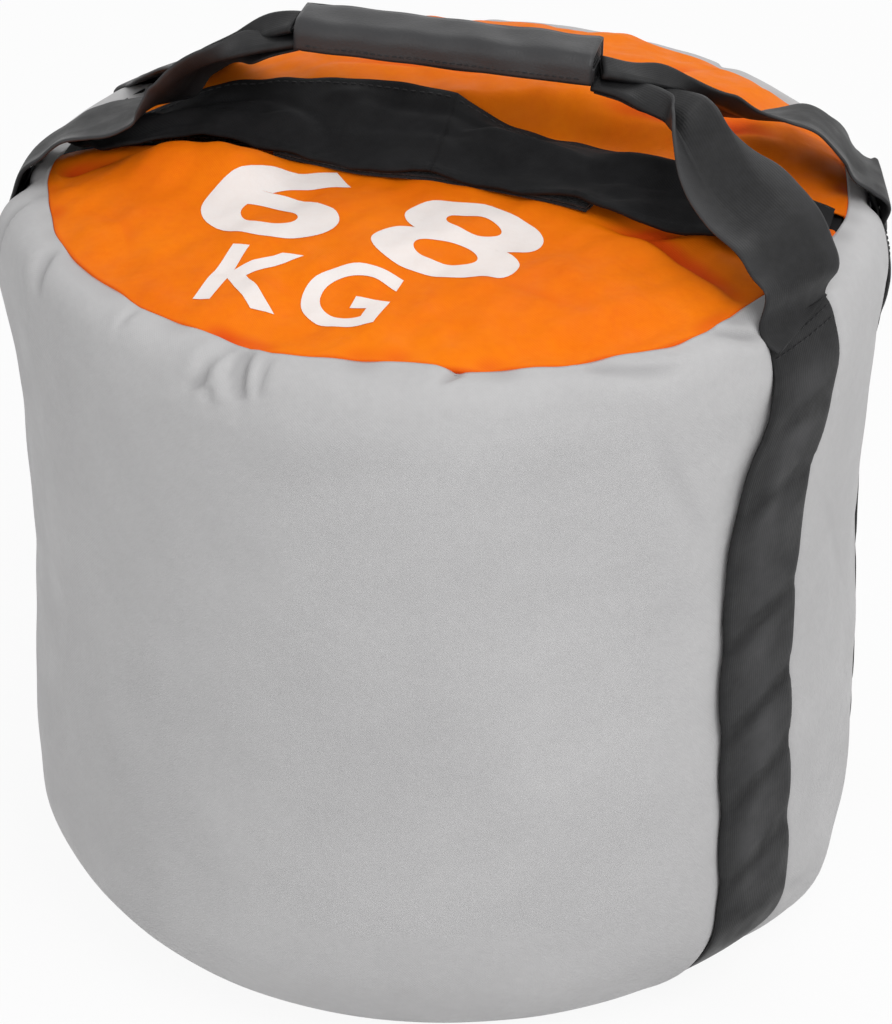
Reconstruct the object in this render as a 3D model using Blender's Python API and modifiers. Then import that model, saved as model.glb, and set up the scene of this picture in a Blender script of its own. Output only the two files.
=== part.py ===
"""Strength sandbag: a round fabric bag full of sand, with two webbing loops that
run under its base and meet in one padded hand grip over a zipped and flapped top.

Metres, +Z up. The origin is the centre of the base underside, +X runs along the
zip and -Y is the front. Every size that can be set by itself is named here once.
"""
from math import asin, atan2, ceil, cos, hypot, pi, radians, sin, sqrt

import bmesh
import bpy
from mathutils import Matrix, Vector

# Bag body
BAG_RADIUS = 0.206
WALL_HEIGHT = 0.366
BASE_CORNER = 0.055
FABRIC = 0.002
FIT_GAP = 0.0003
WALL_SIDES = 56
# Radius as a share of BAG_RADIUS, height as a share of WALL_HEIGHT, rim to base corner
WALL_PROFILE_SHARES = (
    (0.905, 1.0), (0.948, 0.9935), (0.978, 0.977), (0.994, 0.95), (1.0, 0.915),
    (0.992, 0.85), (0.976, 0.71), (0.967, 0.54), (0.975, 0.38), (0.981, 0.26),
)
CORNER_STEPS = 5
DENSE_WALL_STEPS = 240
DENSE_BASE_STEPS = 20
CORNER_END_DEGREES = 70
GATHER_DEPTH = 0.0016
GATHER_REACH = 0.045
GATHER_COUNT = 14

# Base
BASE_THICKNESS = 0.0062
BASE_BINDING_WIDTH = 0.012
BASE_BINDING_THICKNESS = 0.0015

# Domed top: height of the crown over the seam, in front of the zip, at it and behind it
FRONT_CROWN = 0.012
ZIP_CROWN = 0.015
REAR_CROWN = 0.036
FRONT_CROWN_REACH = 0.035
REAR_RISE_START = 0.0135
REAR_RISE_END = 0.027
CROWN_POWER_SHARE = 0.8
TOP_SEAM_CLEARANCE = 0.0012
TOP_BINDING_WIDTH = 0.007
TOP_BINDING_THICKNESS = 0.0015
SLIT_WIDTH = 0.017
PANEL_COLUMNS = 26
PANEL_ROWS = 9

# Zip: tapes, two combs of teeth, slider and pull
TAPE_WIDTH = 0.009
TAPE_THICKNESS = 0.001
TAPE_END_INSET = 0.008
TAPE_STEPS = 24
CHAIN_HALF_WIDTH = 0.0031
CHAIN_THICKNESS = 0.0036
TOOTH_PITCH = 0.006
ZIP_END_INSET = 0.0453
TOOTH_OVERLAP = 0.0016
TOOTH_TAPER_SHARE = 0.16
STOP_LENGTH = 0.005
STOP_WIDTH = 0.006
SLIDER_LENGTH = 0.022
SLIDER_WIDTH = 0.0125
SLIDER_WALL = 0.0016
SLIDER_TAPE_CLEARANCE = 0.0008
# Place along the slider as a share of its length, and its width there
SLIDER_PINCH_SHARES = ((-0.5, 0.72), (-0.28, 1.0), (0.28, 1.0), (0.5, 0.86))
BRIDGE_LENGTH = 0.011
BRIDGE_WIDTH = 0.0036
BRIDGE_HEIGHT = 0.0034
BRIDGE_BAR = 0.0012
PULL_LENGTH = 0.026
PULL_WIDTH = 0.0100
PULL_THICKNESS = 0.0014
PULL_BAR = 0.0018
PULL_WINDOW_LENGTH = 0.0085
PULL_CLEARANCE = 0.0005
PULL_SHOULDER_SHARE = 0.8
PULL_TIP_SHARE = 0.35

# Closure flap and its hook and loop strips
FLAP_REAR_Y = 0.0245
FLAP_REAR_END_Y = 0.010
FLAP_FRONT_Y = 0.031
FLAP_HALF_LENGTH = 0.090
FLAP_END_INSET = 0.0104
FLAP_THICKNESS = 0.0024
FLAP_SEAT_GAP = 0.0007
FLAP_HUMP = 0.0075
FLAP_HUMP_WIDTH = 0.018
# Place along X as a share of FLAP_END_X, free edge as a share of FLAP_FRONT_Y
FLAP_EDGE_SHARES = (
    (-1.0, 0.16), (-0.84, 0.2), (-0.66, 0.34), (-0.5, 0.72), (-0.26, 1.0),
    (0.0, 1.04), (0.34, 1.0), (0.68, 0.9), (1.0, 0.42),
)
STRIP_THICKNESS = 0.0015
STRIP_WIDTH = 0.016
STRIP_EDGE_INSET = 0.002
STRIP_HALF_LENGTH = 0.076
FLAP_ROWS = 7
FLAP_MIDDLE_STEPS = 16
FLAP_END_STEPS = 8
STRIP_STEPS = 16

# Webbing loops: places across the bag where each one passes
WEBBING_WIDTH = 0.050
WEBBING_THICKNESS = 0.0025
FRONT_RIGHT_Y = 0.113
FRONT_LEFT_Y = 0.004
REAR_RIGHT_Y = 0.083
REAR_LEFT_Y = 0.088
FRONT_RIGHT_DRIFT_DEGREES = 6.0
FRONT_LEFT_DRIFT_DEGREES = 6.0
REAR_RIGHT_DRIFT_DEGREES = -9.0
REAR_LEFT_DRIFT_DEGREES = -7.0
DRIFT_START_SHARE = 0.72
STITCH_DROP = 0.016
WEBBING_WALL_GAP = 0.0007
BASE_WEBBING_GAP = 0.0003
CORNER_EXTRA_GAP = 0.0020
CHANNEL_SIDE_GAP = 0.0025
CHANNEL_ROOF_GAP = 0.0009
STRAP_COLUMNS = 5
STRAP_CORNER_STEPS = 8
STRAP_BASE_STEPS = 4

# Hand grip
GRIP_LENGTH = 0.140
GRIP_Y = 0.004
GRIP_RISE = 0.071
GRIP_TILT_DEGREES = 1.4
GRIP_WIDTH = 0.030
GRIP_HEIGHT = 0.022
GRIP_SKIN = 0.0022
GRIP_ROUND = 0.006
GRIP_STRIP = 0.001
GRIP_STRIP_HEIGHT = 0.008
GRIP_LIP = 0.004
HANDLE_END_WIDTH = 0.0185
HANDLE_END_THICKNESS = 0.0068
HANDLE_STACK_GAP = 0.0016

# Legs of the webbing from the stitch line to the grip
LEG_STEPS = 12
LEG_TO_GRIP_GAP = 0.0004
LEG_STITCH_GAP = 0.0008
LEG_RIM_CLEARANCE = 0.016
LEG_LEAVES_WALL_SHARE = 0.956
LEG_FOLD_START_SHARE = 0.3
LEG_TURN_START_SHARE = 0.25
LEG_CUP_END_SHARE = 0.35
FRONT_LEG_PULL = 0.048
REAR_LEG_PULL = 0.062

# Inside: liner bag, its folded neck and the sand
LINER_WALL_GAP = 0.0008
LINER_THICKNESS = 0.001
LINER_SIDES = 24
LINER_TOP_DROP = 0.002
LINER_SHOULDER_DROP = 0.014
LINER_SHOULDER_INSET = 0.014
LINER_MOUTH_RADIUS = 0.045
SAND_GAP = 0.0006
NECK_LENGTH = 0.120
NECK_WIDTH = 0.062
NECK_HEIGHT = 0.0065
NECK_ROUND = 0.0028
NECK_STRIP_WIDTH = 0.020
NECK_STRIP_THICKNESS = 0.0015

COLLECTION_NAME = "strength_sandbag"


def clear_scene():
    """Remove every object of the file that this runs in."""
    for scene_object in list(bpy.data.objects):
        bpy.data.objects.remove(scene_object, do_unlink=True)


def collection(name):
    """A new collection in the scene."""
    group = bpy.data.collections.new(name)
    bpy.context.scene.collection.children.link(group)
    return group


def material(name, colour, roughness, metallic=0.0):
    """A plain Principled finish."""
    finish = bpy.data.materials.new(name)
    finish.use_nodes = True
    shader = finish.node_tree.nodes["Principled BSDF"]
    shader.inputs["Base Color"].default_value = (*colour, 1.0)
    shader.inputs["Roughness"].default_value = roughness
    shader.inputs["Metallic"].default_value = metallic
    finish.diffuse_color = (*colour, 1.0)
    return finish


GREY_FABRIC = (0.55, 0.54, 0.55)
ORANGE_FABRIC = (1.0, 0.24, 0.004)
BLACK_WEBBING = (0.035, 0.035, 0.037)
BLACK_FABRIC = (0.016, 0.016, 0.018)
BLACK_PLASTIC = (0.03, 0.03, 0.03)
LINER_PLASTIC = (0.22, 0.22, 0.21)
SAND = (0.46, 0.34, 0.2)


def add_object(name, mesh, look, parent=None, target=None):
    """Put a mesh in the parts collection under its node's name, with its own finish."""
    part = bpy.data.objects.new(name, mesh)
    (target or PARTS).objects.link(part)
    if look:
        mesh.materials.append(material(name + "_finish", *look))
    if parent:
        part.parent = parent
    return part


def axis_empty(name, place, turn_y=0.0, parent=None):
    """An empty on a joint's axis, which carries the pieces that move there."""
    empty = bpy.data.objects.new(name, None)
    PARTS.objects.link(empty)
    empty.empty_display_size = GRIP_WIDTH
    empty.location = place
    empty.rotation_euler = (0.0, turn_y, 0.0)
    if parent:
        empty.parent = parent
    return empty


def face_out(mesh_data):
    """Turn all faces of a closed mesh outwards."""
    shape = bmesh.new()
    shape.from_mesh(mesh_data)
    bmesh.ops.recalc_face_normals(shape, faces=shape.faces)
    shape.to_mesh(mesh_data)
    shape.free()


def solidify(part, thickness, offset):
    """Give a surface its thickness, with a rim."""
    wall = part.modifiers.new("thickness", "SOLIDIFY")
    wall.thickness = thickness
    wall.offset = offset
    wall.use_even_offset = True
    wall.use_rim = True


def sheet(name, rows, thickness, offset, look, closed=False, parent=None):
    """A surface through rows of points, given its thickness by Solidify.

    Rows run one way and their points the other, so that the surface faces out or up.
    """
    count = len(rows[0])
    corners = [point for row in rows for point in row]
    faces = []
    for row in range(len(rows) - 1):
        for column in range(count if closed else count - 1):
            following = (column + 1) % count
            faces.append((row * count + column, row * count + following,
                          (row + 1) * count + following, (row + 1) * count + column))
    mesh = bpy.data.meshes.new(name)
    mesh.from_pydata(corners, [], faces)
    part = add_object(name, mesh, look, parent)
    solidify(part, thickness, offset)
    mesh.shade_smooth()
    return part


def loft(name, rings, look, parent=None, target=None):
    """A solid skinned over rings of equal count, with a flat cap at each end."""
    count = len(rings[0])
    corners = [point for ring in rings for point in ring]
    faces = []
    for row in range(len(rings) - 1):
        for column in range(count):
            following = (column + 1) % count
            faces.append((row * count + column, row * count + following,
                          (row + 1) * count + following, (row + 1) * count + column))
    last = (len(rings) - 1) * count
    faces.append(tuple(range(count)))
    faces.append(tuple(last + column for column in reversed(range(count))))
    mesh = bpy.data.meshes.new(name)
    mesh.from_pydata(corners, [], faces)
    face_out(mesh)
    return add_object(name, mesh, look, parent, target)


def block(name, size, place, look, parent=None, bevel=0.0, target=None):
    """A cuboid centred on its place, with bevelled edges where a bevel is given."""
    shape = bmesh.new()
    bmesh.ops.create_cube(shape, size=1.0, matrix=Matrix.Diagonal((*size, 1.0)))
    mesh = bpy.data.meshes.new(name)
    shape.to_mesh(mesh)
    shape.free()
    part = add_object(name, mesh, look, parent, target)
    part.location = place
    if bevel:
        edge = part.modifiers.new("edge", "BEVEL")
        edge.width = bevel
        edge.segments = 2
    return part


def turned(name, profile, look, sides):
    """A closed (radius, height) outline turned about the Z axis with Screw."""
    mesh = bpy.data.meshes.new(name)
    points = [(radius, 0.0, height) for radius, height in profile]
    edges = [(index, (index + 1) % len(points)) for index in range(len(points))]
    if profile[0][0] == 0.0 and profile[-1][0] == 0.0:
        edges.pop()
    mesh.from_pydata(points, edges, [])
    part = add_object(name, mesh, look)
    turn = part.modifiers.new("turn", "SCREW")
    turn.steps = sides
    turn.render_steps = sides
    turn.use_merge_vertices = True
    turn.merge_threshold = 0.0001
    return part


def outline_solid(name, outlines, thickness):
    """A flat plate from closed outlines in XY, returned as a mesh centred on z = 0."""
    data = bpy.data.curves.new(name, "CURVE")
    data.dimensions = "2D"
    data.fill_mode = "BOTH"
    data.extrude = thickness / 2
    for outline in outlines:
        spline = data.splines.new("POLY")
        spline.points.add(len(outline) - 1)
        for point, (x, y) in zip(spline.points, outline):
            point.co = (x, y, 0.0, 1.0)
        spline.use_cyclic_u = True
    guide = bpy.data.objects.new(name, data)
    PARTS.objects.link(guide)
    view = bpy.context.evaluated_depsgraph_get()
    mesh = bpy.data.meshes.new_from_object(guide.evaluated_get(view))
    bpy.data.objects.remove(guide, do_unlink=True)
    shape = bmesh.new()
    shape.from_mesh(mesh)
    bmesh.ops.remove_doubles(shape, verts=shape.verts, dist=thickness / 50)
    bmesh.ops.recalc_face_normals(shape, faces=shape.faces)
    shape.to_mesh(mesh)
    shape.free()
    mesh.materials.clear()
    return mesh


def cut(part, cutter):
    """Cut a part by another object, which isn't shown."""
    cutter.hide_render = True
    cutter.display_type = "WIRE"
    hole = part.modifiers.new("cut", "BOOLEAN")
    hole.operation = "DIFFERENCE"
    hole.solver = "EXACT"
    hole.object = cutter


def smooth_step(value, start, end):
    """Rise smoothly from 0 at start to 1 at end."""
    share = min(1.0, max(0.0, (value - start) / (end - start)))
    return share * share * (3.0 - 2.0 * share)


def through(points, share):
    """A smooth curve through points (Catmull-Rom), read at a share from 0 to 1."""
    spans = len(points) - 1
    place = min(max(share, 0.0), 1.0) * spans
    span = min(int(place), spans - 1)
    t = place - span
    before = points[max(span - 1, 0)]
    start, end = points[span], points[span + 1]
    after = points[min(span + 2, spans)]
    return tuple(
        0.5 * (2 * b + (c - a) * t + (2 * a - 5 * b + 4 * c - d) * t * t
               + (3 * b - a - 3 * c + d) * t ** 3)
        for a, b, c, d in zip(before, start, end, after))


def wall_profile():
    """The outer (radius, height) line of the bag, from the top seam to the base seam."""
    side = [(radius * BAG_RADIUS, height * WALL_HEIGHT)
            for radius, height in WALL_PROFILE_SHARES]
    belly = side[-1][0]
    centre = (belly - BASE_CORNER, BASE_CORNER)
    corner = [(centre[0] + BASE_CORNER * cos(angle), centre[1] - BASE_CORNER * sin(angle))
              for angle in (radians(CORNER_END_DEGREES) * step / CORNER_STEPS
                            for step in range(CORNER_STEPS + 1))]
    return side + corner


PROFILE = wall_profile()
SEAM_RADIUS = PROFILE[0][0]
FLAP_END_X = SEAM_RADIUS - FLAP_END_INSET
GRIP_Z = WALL_HEIGHT + GRIP_RISE
BASE_FLAT_RADIUS = WALL_PROFILE_SHARES[-1][0] * BAG_RADIUS - BASE_CORNER
TOOTH_COUNT = int(2 * (SEAM_RADIUS - ZIP_END_INSET) / TOOTH_PITCH)
BASE_SEAM_RADIUS, BASE_SEAM_HEIGHT = PROFILE[-1]
STITCH_LEVEL = WALL_HEIGHT - STITCH_DROP


def dense_profile():
    """Points and outward normals close together along the wall and in under the base."""
    line = [through(PROFILE, step / DENSE_WALL_STEPS) for step in range(DENSE_WALL_STEPS + 1)]
    line += [(BASE_SEAM_RADIUS * (1 - step / DENSE_BASE_STEPS), BASE_SEAM_HEIGHT)
             for step in range(1, DENSE_BASE_STEPS + 1)]
    places = []
    for index, (radius, height) in enumerate(line):
        ahead = line[min(index + 1, len(line) - 1)]
        behind = line[max(index - 1, 0)]
        along = Vector((ahead[0] - behind[0], ahead[1] - behind[1])).normalized()
        places.append((radius, height, -along.y, along.x))
    return places


DENSE = dense_profile()


def on_wall(point, out):
    """The nearest place on the bag's side, moved out along the fabric's normal."""
    angle = atan2(point[1], point[0])
    radius = hypot(point[0], point[1])
    best = min(DENSE, key=lambda place: (place[0] - radius) ** 2 + (place[1] - point[2]) ** 2)
    far = best[0] + out * best[2]
    low = best[1] + out * best[3]
    return Vector((far * cos(angle), far * sin(angle), low))


def top_height(x, y):
    """Height of the domed top over any place inside the seam."""
    inside = max(0.0, 1.0 - (x * x + y * y) / SEAM_RADIUS ** 2)
    crown = ZIP_CROWN + (FRONT_CROWN - ZIP_CROWN) * smooth_step(-y, 0.0, FRONT_CROWN_REACH)
    crown += (REAR_CROWN - ZIP_CROWN) * smooth_step(y, REAR_RISE_START, REAR_RISE_END)
    return WALL_HEIGHT + crown * inside ** CROWN_POWER_SHARE


def side_wall():
    """The puckered grey wall: the profile swept round, gathered where it meets the top."""
    rows = []
    for radius, height in PROFILE:
        depth = smooth_step(height, WALL_HEIGHT - GATHER_REACH, WALL_HEIGHT - FABRIC)
        depth *= 1.0 - smooth_step(height, WALL_HEIGHT - FABRIC, WALL_HEIGHT)
        row = []
        for side in range(WALL_SIDES):
            angle = 2 * pi * side / WALL_SIDES
            gather = GATHER_DEPTH * depth * (0.5 - 0.5 * cos(GATHER_COUNT * angle))
            row.append(((radius - gather) * cos(angle), (radius - gather) * sin(angle), height))
        rows.append(row)
    rows.reverse()
    return sheet("side_wall", rows, FABRIC, -1.0, GREY_FABRIC_LOOK, closed=True)


def base_panel():
    """The flat round base with two shallow channels, so the webbing lies flush in it."""
    rim = BASE_PANEL_RADIUS
    profile = [(0.0, BASE_THICKNESS), (rim, BASE_THICKNESS), (rim, BASE_SEAM_HEIGHT),
               (BASE_FLAT_RADIUS, 0.0), (0.0, 0.0)]
    panel = turned("base_panel", profile, GREY_FABRIC_LOOK, WALL_SIDES)
    depth = BASE_WEBBING_GAP + WEBBING_THICKNESS + CHANNEL_ROOF_GAP
    for name, right_y, left_y in (("front_channel", -FRONT_RIGHT_Y, -FRONT_LEFT_Y),
                                  ("rear_channel", REAR_RIGHT_Y, REAR_LEFT_Y)):
        length = 2 * (BAG_RADIUS + BASE_CORNER)
        size = (length, WEBBING_WIDTH + 2 * CHANNEL_SIDE_GAP, 2 * depth)
        middle = (0.0, (right_y + left_y) / 2, 0.0)
        cutter = block(name, size, middle, None, target=CUTTERS)
        cutter.rotation_euler = (0.0, 0.0, atan2(right_y - left_y, 2 * BAG_RADIUS))
        cut(panel, cutter)
    return panel


def base_binding():
    """The tape ring that binds the base seam, inside the bag."""
    outer = BASE_PANEL_RADIUS
    low = BASE_THICKNESS + FIT_GAP
    profile = [(outer - BASE_BINDING_WIDTH, low + BASE_BINDING_THICKNESS),
               (outer, low + BASE_BINDING_THICKNESS), (outer, low),
               (outer - BASE_BINDING_WIDTH, low)]
    return turned("base_seam_binding", profile, BLACK_FABRIC_LOOK, WALL_SIDES // 2)


def top_binding():
    """The tape ring that binds the top seam, under the panel and the wall's edge."""
    outer = SEAM_RADIUS - TOP_SEAM_CLEARANCE
    high = WALL_HEIGHT - FABRIC - 2 * FIT_GAP
    profile = [(outer - TOP_BINDING_WIDTH, high), (outer, high),
               (outer, high - TOP_BINDING_THICKNESS),
               (outer - TOP_BINDING_WIDTH, high - TOP_BINDING_THICKNESS)]
    return turned("top_seam_binding", profile, BLACK_FABRIC_LOOK, WALL_SIDES // 2)


def panel_share(row, rows, slit_y, rim_y):
    """How far a row lies from the slit to the rim: close rows where the rear half rises."""
    steep = [REAR_RISE_START, REAR_RISE_START + (REAR_RISE_END - REAR_RISE_START) / 3,
             REAR_RISE_END - (REAR_RISE_END - REAR_RISE_START) / 3, REAR_RISE_END]
    reach = abs(rim_y - slit_y)
    places = [0.0] + [min((y - abs(slit_y)) / reach, (index + 1) / rows)
                      for index, y in enumerate(steep)]
    if row < len(places):
        return places[row]
    left = rows - len(places) + 1
    return places[-1] + (1.0 - places[-1]) * (row - len(places) + 1) / left


def top_panel(name, side, look):
    """Half of the domed top, from the zip's slit out to the seam."""
    along, across = PANEL_COLUMNS, PANEL_ROWS
    edge = SEAM_RADIUS - TOP_SEAM_CLEARANCE
    slit_y = side * SLIT_WIDTH / 2
    end_angle = asin(SLIT_WIDTH / 2 / edge) + TOP_SEAM_CLEARANCE / edge
    rows = []
    for step in range(across + 1):
        row = []
        for place in range(along + 1):
            turn = pi - end_angle - (pi - 2 * end_angle) * place / along
            rim = Vector((edge * cos(turn), side * edge * sin(turn)))
            slit = Vector((rim.x * (1 - TOP_SEAM_CLEARANCE / edge), slit_y))
            spot = slit.lerp(rim, panel_share(step, across, slit_y, rim.y))
            row.append((spot.x, spot.y, top_height(spot.x, spot.y)))
        rows.append(row)
    if side > 0:
        rows.reverse()
    rows.reverse()
    return sheet(name, rows, FABRIC, -1.0, look)


CHAIN_HALF_LENGTH = TOOTH_COUNT * TOOTH_PITCH / 2
ZIP_SAG = top_height(0.0, 0.0) - top_height(CHAIN_HALF_LENGTH, 0.0)
ZIP_ARC = (CHAIN_HALF_LENGTH ** 2 + ZIP_SAG ** 2) / (2 * ZIP_SAG)
ZIP_HEIGHT = top_height(0.0, 0.0) - FABRIC - FIT_GAP - TAPE_THICKNESS / 2
ZIP_CENTRE = ZIP_HEIGHT - ZIP_ARC


def along_zip(x, y, z):
    """Bend a place on a straight zip onto the arc that the crown gives it."""
    angle = x / ZIP_ARC
    return Vector(((ZIP_ARC + z) * sin(angle), y, ZIP_CENTRE + (ZIP_ARC + z) * cos(angle)))


def zip_tape(name, side):
    """One zip tape, sewn under the panel's slit edge."""
    half = SEAM_RADIUS - TAPE_END_INSET
    inner = side * (CHAIN_HALF_WIDTH + FIT_GAP)
    outer = side * (CHAIN_HALF_WIDTH + FIT_GAP + TAPE_WIDTH)
    rows = []
    for y in (inner, outer):
        rows.append([(x, y, top_height(x, y) - FABRIC - FIT_GAP)
                     for x in (half * (2 * step / TAPE_STEPS - 1)
                               for step in range(TAPE_STEPS + 1))])
    if side < 0:
        rows.reverse()
    return sheet(name, rows, TAPE_THICKNESS, -1.0, BLACK_FABRIC_LOOK)


def zip_chain(name, side):
    """One comb of the closed zip: teeth that reach between those of the other comb.

    Each pitch has a length of spine and one tooth; Solidify gives the comb its depth.
    """
    shift = TOOTH_PITCH / 2 if side > 0 else 0.0
    tooth = TOOTH_PITCH / 2 - FIT_GAP
    spine, root, tip = CHAIN_HALF_WIDTH * side, (TOOTH_OVERLAP + FIT_GAP) * side, -TOOTH_OVERLAP * side
    corners, faces = [(-CHAIN_HALF_LENGTH, spine), (-CHAIN_HALF_LENGTH, root)], []
    for index in range(TOOTH_COUNT):
        left = -CHAIN_HALF_LENGTH + index * TOOTH_PITCH + shift + FIT_GAP / 2
        last = index == TOOTH_COUNT - 1
        end = CHAIN_HALF_LENGTH + TOOTH_PITCH / 2 if last else left + TOOTH_PITCH - tooth / 2
        taper = tooth * TOOTH_TAPER_SHARE
        first = len(corners)
        corners += [(left, root), (left + tooth, root), (left + tooth - taper, tip),
                    (left + taper, tip), (end, root), (end, spine)]
        before = (0, 1) if index == 0 else (first - 1, first - 2)
        faces.append((before[0], before[1], first, first + 1, first + 4, first + 5))
        faces.append((first, first + 3, first + 2, first + 1))
    if side < 0:
        faces = [tuple(reversed(face)) for face in faces]
    mesh = bpy.data.meshes.new(name)
    mesh.from_pydata([along_zip(x, y, CHAIN_THICKNESS / 2) for x, y in corners], [], faces)
    comb = add_object(name, mesh, BLACK_PLASTIC_LOOK)
    solidify(comb, CHAIN_THICKNESS, -1.0)
    return comb


def zip_stop(name, side):
    """A clamp across both combs that stops the slider."""
    reach = CHAIN_HALF_LENGTH + FIT_GAP + STOP_LENGTH / 2
    reach += TOOTH_PITCH / 2 if side > 0 else 0.0
    place = along_zip(side * reach, 0.0, 0.0)
    stop = block(name, (STOP_LENGTH, STOP_WIDTH, CHAIN_THICKNESS), place, BLACK_PLASTIC_LOOK,
                 bevel=STOP_LENGTH / 10)
    stop.rotation_euler = (0.0, side * reach / ZIP_ARC, 0.0)
    return stop


SLIDER_PLACE = CHAIN_HALF_LENGTH - SLIDER_LENGTH / 2 - STOP_LENGTH / 2
SLIDER_FLOOR = CHAIN_THICKNESS / 2 + FIT_GAP


def zip_slider(carrier):
    """The slider: a wing over the chain, two flanges beside it and a bridge for the pull."""
    lower = TAPE_THICKNESS / 2 + SLIDER_TAPE_CLEARANCE
    roof = SLIDER_FLOOR + SLIDER_WALL
    inner = CHAIN_HALF_WIDTH + FIT_GAP
    half = SLIDER_WIDTH / 2
    section = [(-half, lower), (-inner, lower), (-inner, SLIDER_FLOOR), (inner, SLIDER_FLOOR),
               (inner, lower), (half, lower), (half, roof - SLIDER_WALL / 2),
               (half - SLIDER_WALL / 2, roof), (-half + SLIDER_WALL / 2, roof),
               (-half, roof - SLIDER_WALL / 2)]
    rings = []
    for share, pinch in SLIDER_PINCH_SHARES:
        x = share * SLIDER_LENGTH
        rings.append([(x, max(abs(y) * pinch, min(abs(y), inner)) * (1 if y > 0 else -1), z)
                      for y, z in section])
    body = loft("zip_slider", rings, BLACK_PLASTIC_LOOK, carrier)
    post = bridge_outline(BRIDGE_BAR, roof)
    mesh = outline_solid("bridge", [post], BRIDGE_WIDTH)
    bridge = add_object("slider_bridge", mesh, None, carrier, CUTTERS)
    bridge.rotation_euler = (pi / 2, 0.0, 0.0)
    bridge.hide_render = True
    bridge.display_type = "WIRE"
    join = body.modifiers.new("bridge", "BOOLEAN")
    join.operation = "UNION"
    join.solver = "EXACT"
    join.object = bridge
    return body


def bridge_outline(leg, roof):
    """The slider's arch in side view: two legs and a bar with room for the pull's bar."""
    half = BRIDGE_LENGTH / 2
    sunk = roof - SLIDER_WALL / 2
    under = roof + BRIDGE_HEIGHT - leg
    top = roof + BRIDGE_HEIGHT
    return [(-half, sunk), (-half + leg, sunk), (-half + leg, under), (half - leg, under),
            (half - leg, sunk), (half, sunk), (half, top - leg / 2), (half - leg / 2, top),
            (-half + leg / 2, top), (-half, top - leg / 2)]


def pull_height():
    """Middle of the pull's bar, between the slider's roof and the bridge."""
    return SLIDER_FLOOR + SLIDER_WALL + PULL_CLEARANCE + PULL_THICKNESS / 2


def zip_pull(carrier):
    """The pull: a tab with a window at one end, whose bar sits under the bridge."""
    half = PULL_WIDTH / 2
    window = BRIDGE_WIDTH / 2 + PULL_CLEARANCE
    bar = PULL_BAR / 2
    tip = -PULL_LENGTH
    shoulder, end = half * PULL_SHOULDER_SHARE, half * PULL_TIP_SHARE
    outline = [(bar, shoulder), (-PULL_WINDOW_LENGTH, half), (tip + half, shoulder), (tip, end),
               (tip, -end), (tip + half, -shoulder), (-PULL_WINDOW_LENGTH, -half),
               (bar, -shoulder)]
    hole = [(-bar, window), (-bar - PULL_WINDOW_LENGTH, window),
            (-bar - PULL_WINDOW_LENGTH, -window), (-bar, -window)]
    mesh = outline_solid("zip_pull", [outline, hole], PULL_THICKNESS)
    return add_object("zip_pull", mesh, BLACK_PLASTIC_LOOK, carrier)


def flap_edges(x):
    """Rear and free edge of the closure flap, at a place along the zip."""
    spots = [share for share, _ in FLAP_EDGE_SHARES]
    where = max(-1.0, min(1.0, x / FLAP_END_X))
    span = max(index for index in range(len(spots) - 1) if where >= spots[index] - 1e-9)
    local = (where - spots[span]) / (spots[span + 1] - spots[span])
    front = through(FLAP_EDGE_SHARES, (span + local) / (len(spots) - 1))[1]
    ends = smooth_step(abs(x), FLAP_HALF_LENGTH, FLAP_END_X)
    rear = FLAP_REAR_Y + (FLAP_REAR_END_Y - FLAP_REAR_Y) * ends
    return rear, -front * FLAP_FRONT_Y


def flap_floor(x, share):
    """A place on the flap's underside: share 0 at the sewn edge, 1 at the free edge."""
    rear, front = flap_edges(x)
    y = rear + (front - rear) * share
    middle = 1.0 - smooth_step(abs(x), FLAP_HALF_LENGTH, FLAP_END_X)
    lift = FLAP_SEAT_GAP + middle * share * (2 * STRIP_THICKNESS + FIT_GAP)
    chord = top_height(x, rear) + (top_height(x, front) - top_height(x, rear)) * share
    over_zip = 1.0 - smooth_step(abs(x), CHAIN_HALF_LENGTH, FLAP_END_X)
    hump = FLAP_HUMP * over_zip * (1.0 - smooth_step(abs(y), 0.0, FLAP_HUMP_WIDTH))
    return Vector((x, y, max(chord, top_height(x, y) + hump) + lift))


def flap_piece(name, first, last, steps, carrier=None, origin=Vector((0.0, 0.0, 0.0))):
    """A length of the closure flap between two places along the zip."""
    rows = []
    for row in range(FLAP_ROWS + 1):
        share = row / FLAP_ROWS
        rows.append([flap_floor(first + (last - first) * step / steps, share) - origin
                     for step in range(steps + 1)])
    rows.reverse()
    return sheet(name, rows, FLAP_THICKNESS, 1.0, BLACK_FABRIC_LOOK, parent=carrier)


def strip_rows(lift):
    """Rows of a hook or loop strip, close to the flap's free edge."""
    rows = []
    for across in range(3):
        row = []
        for step in range(STRIP_STEPS + 1):
            x = STRIP_HALF_LENGTH * (2 * step / STRIP_STEPS - 1)
            y = flap_edges(x)[1] + STRIP_EDGE_INSET + STRIP_WIDTH * across / 2
            row.append(Vector((x, y, top_height(x, y) + lift)))
        rows.append(row)
    return rows


def webbing_line(right_y, left_y, radius, right):
    """Where a loop's straight line crosses a circle round the bag's axis."""
    slope = (right_y - left_y) / (2 * BAG_RADIUS)
    middle = (right_y + left_y) / 2
    a, b, c = 1 + slope * slope, 2 * slope * middle, middle * middle - radius * radius
    root = sqrt(max(b * b - 4 * a * c, 0.0))
    x = (-b + root) / (2 * a) if right else (-b - root) / (2 * a)
    return x, middle + slope * x


def stitch_angle(right_y, left_y, drift, right):
    """Angle about the bag's axis of a loop's stitch line."""
    x, y = webbing_line(right_y, left_y, on_wall((BAG_RADIUS, 0, STITCH_LEVEL), 0.0).x, right)
    return atan2(y, x) + drift


def round_the_wall(point, shift):
    """A place moved sideways along the wall at its own height."""
    turn = shift / hypot(point.x, point.y)
    return Matrix.Rotation(turn, 3, "Z") @ point


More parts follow.
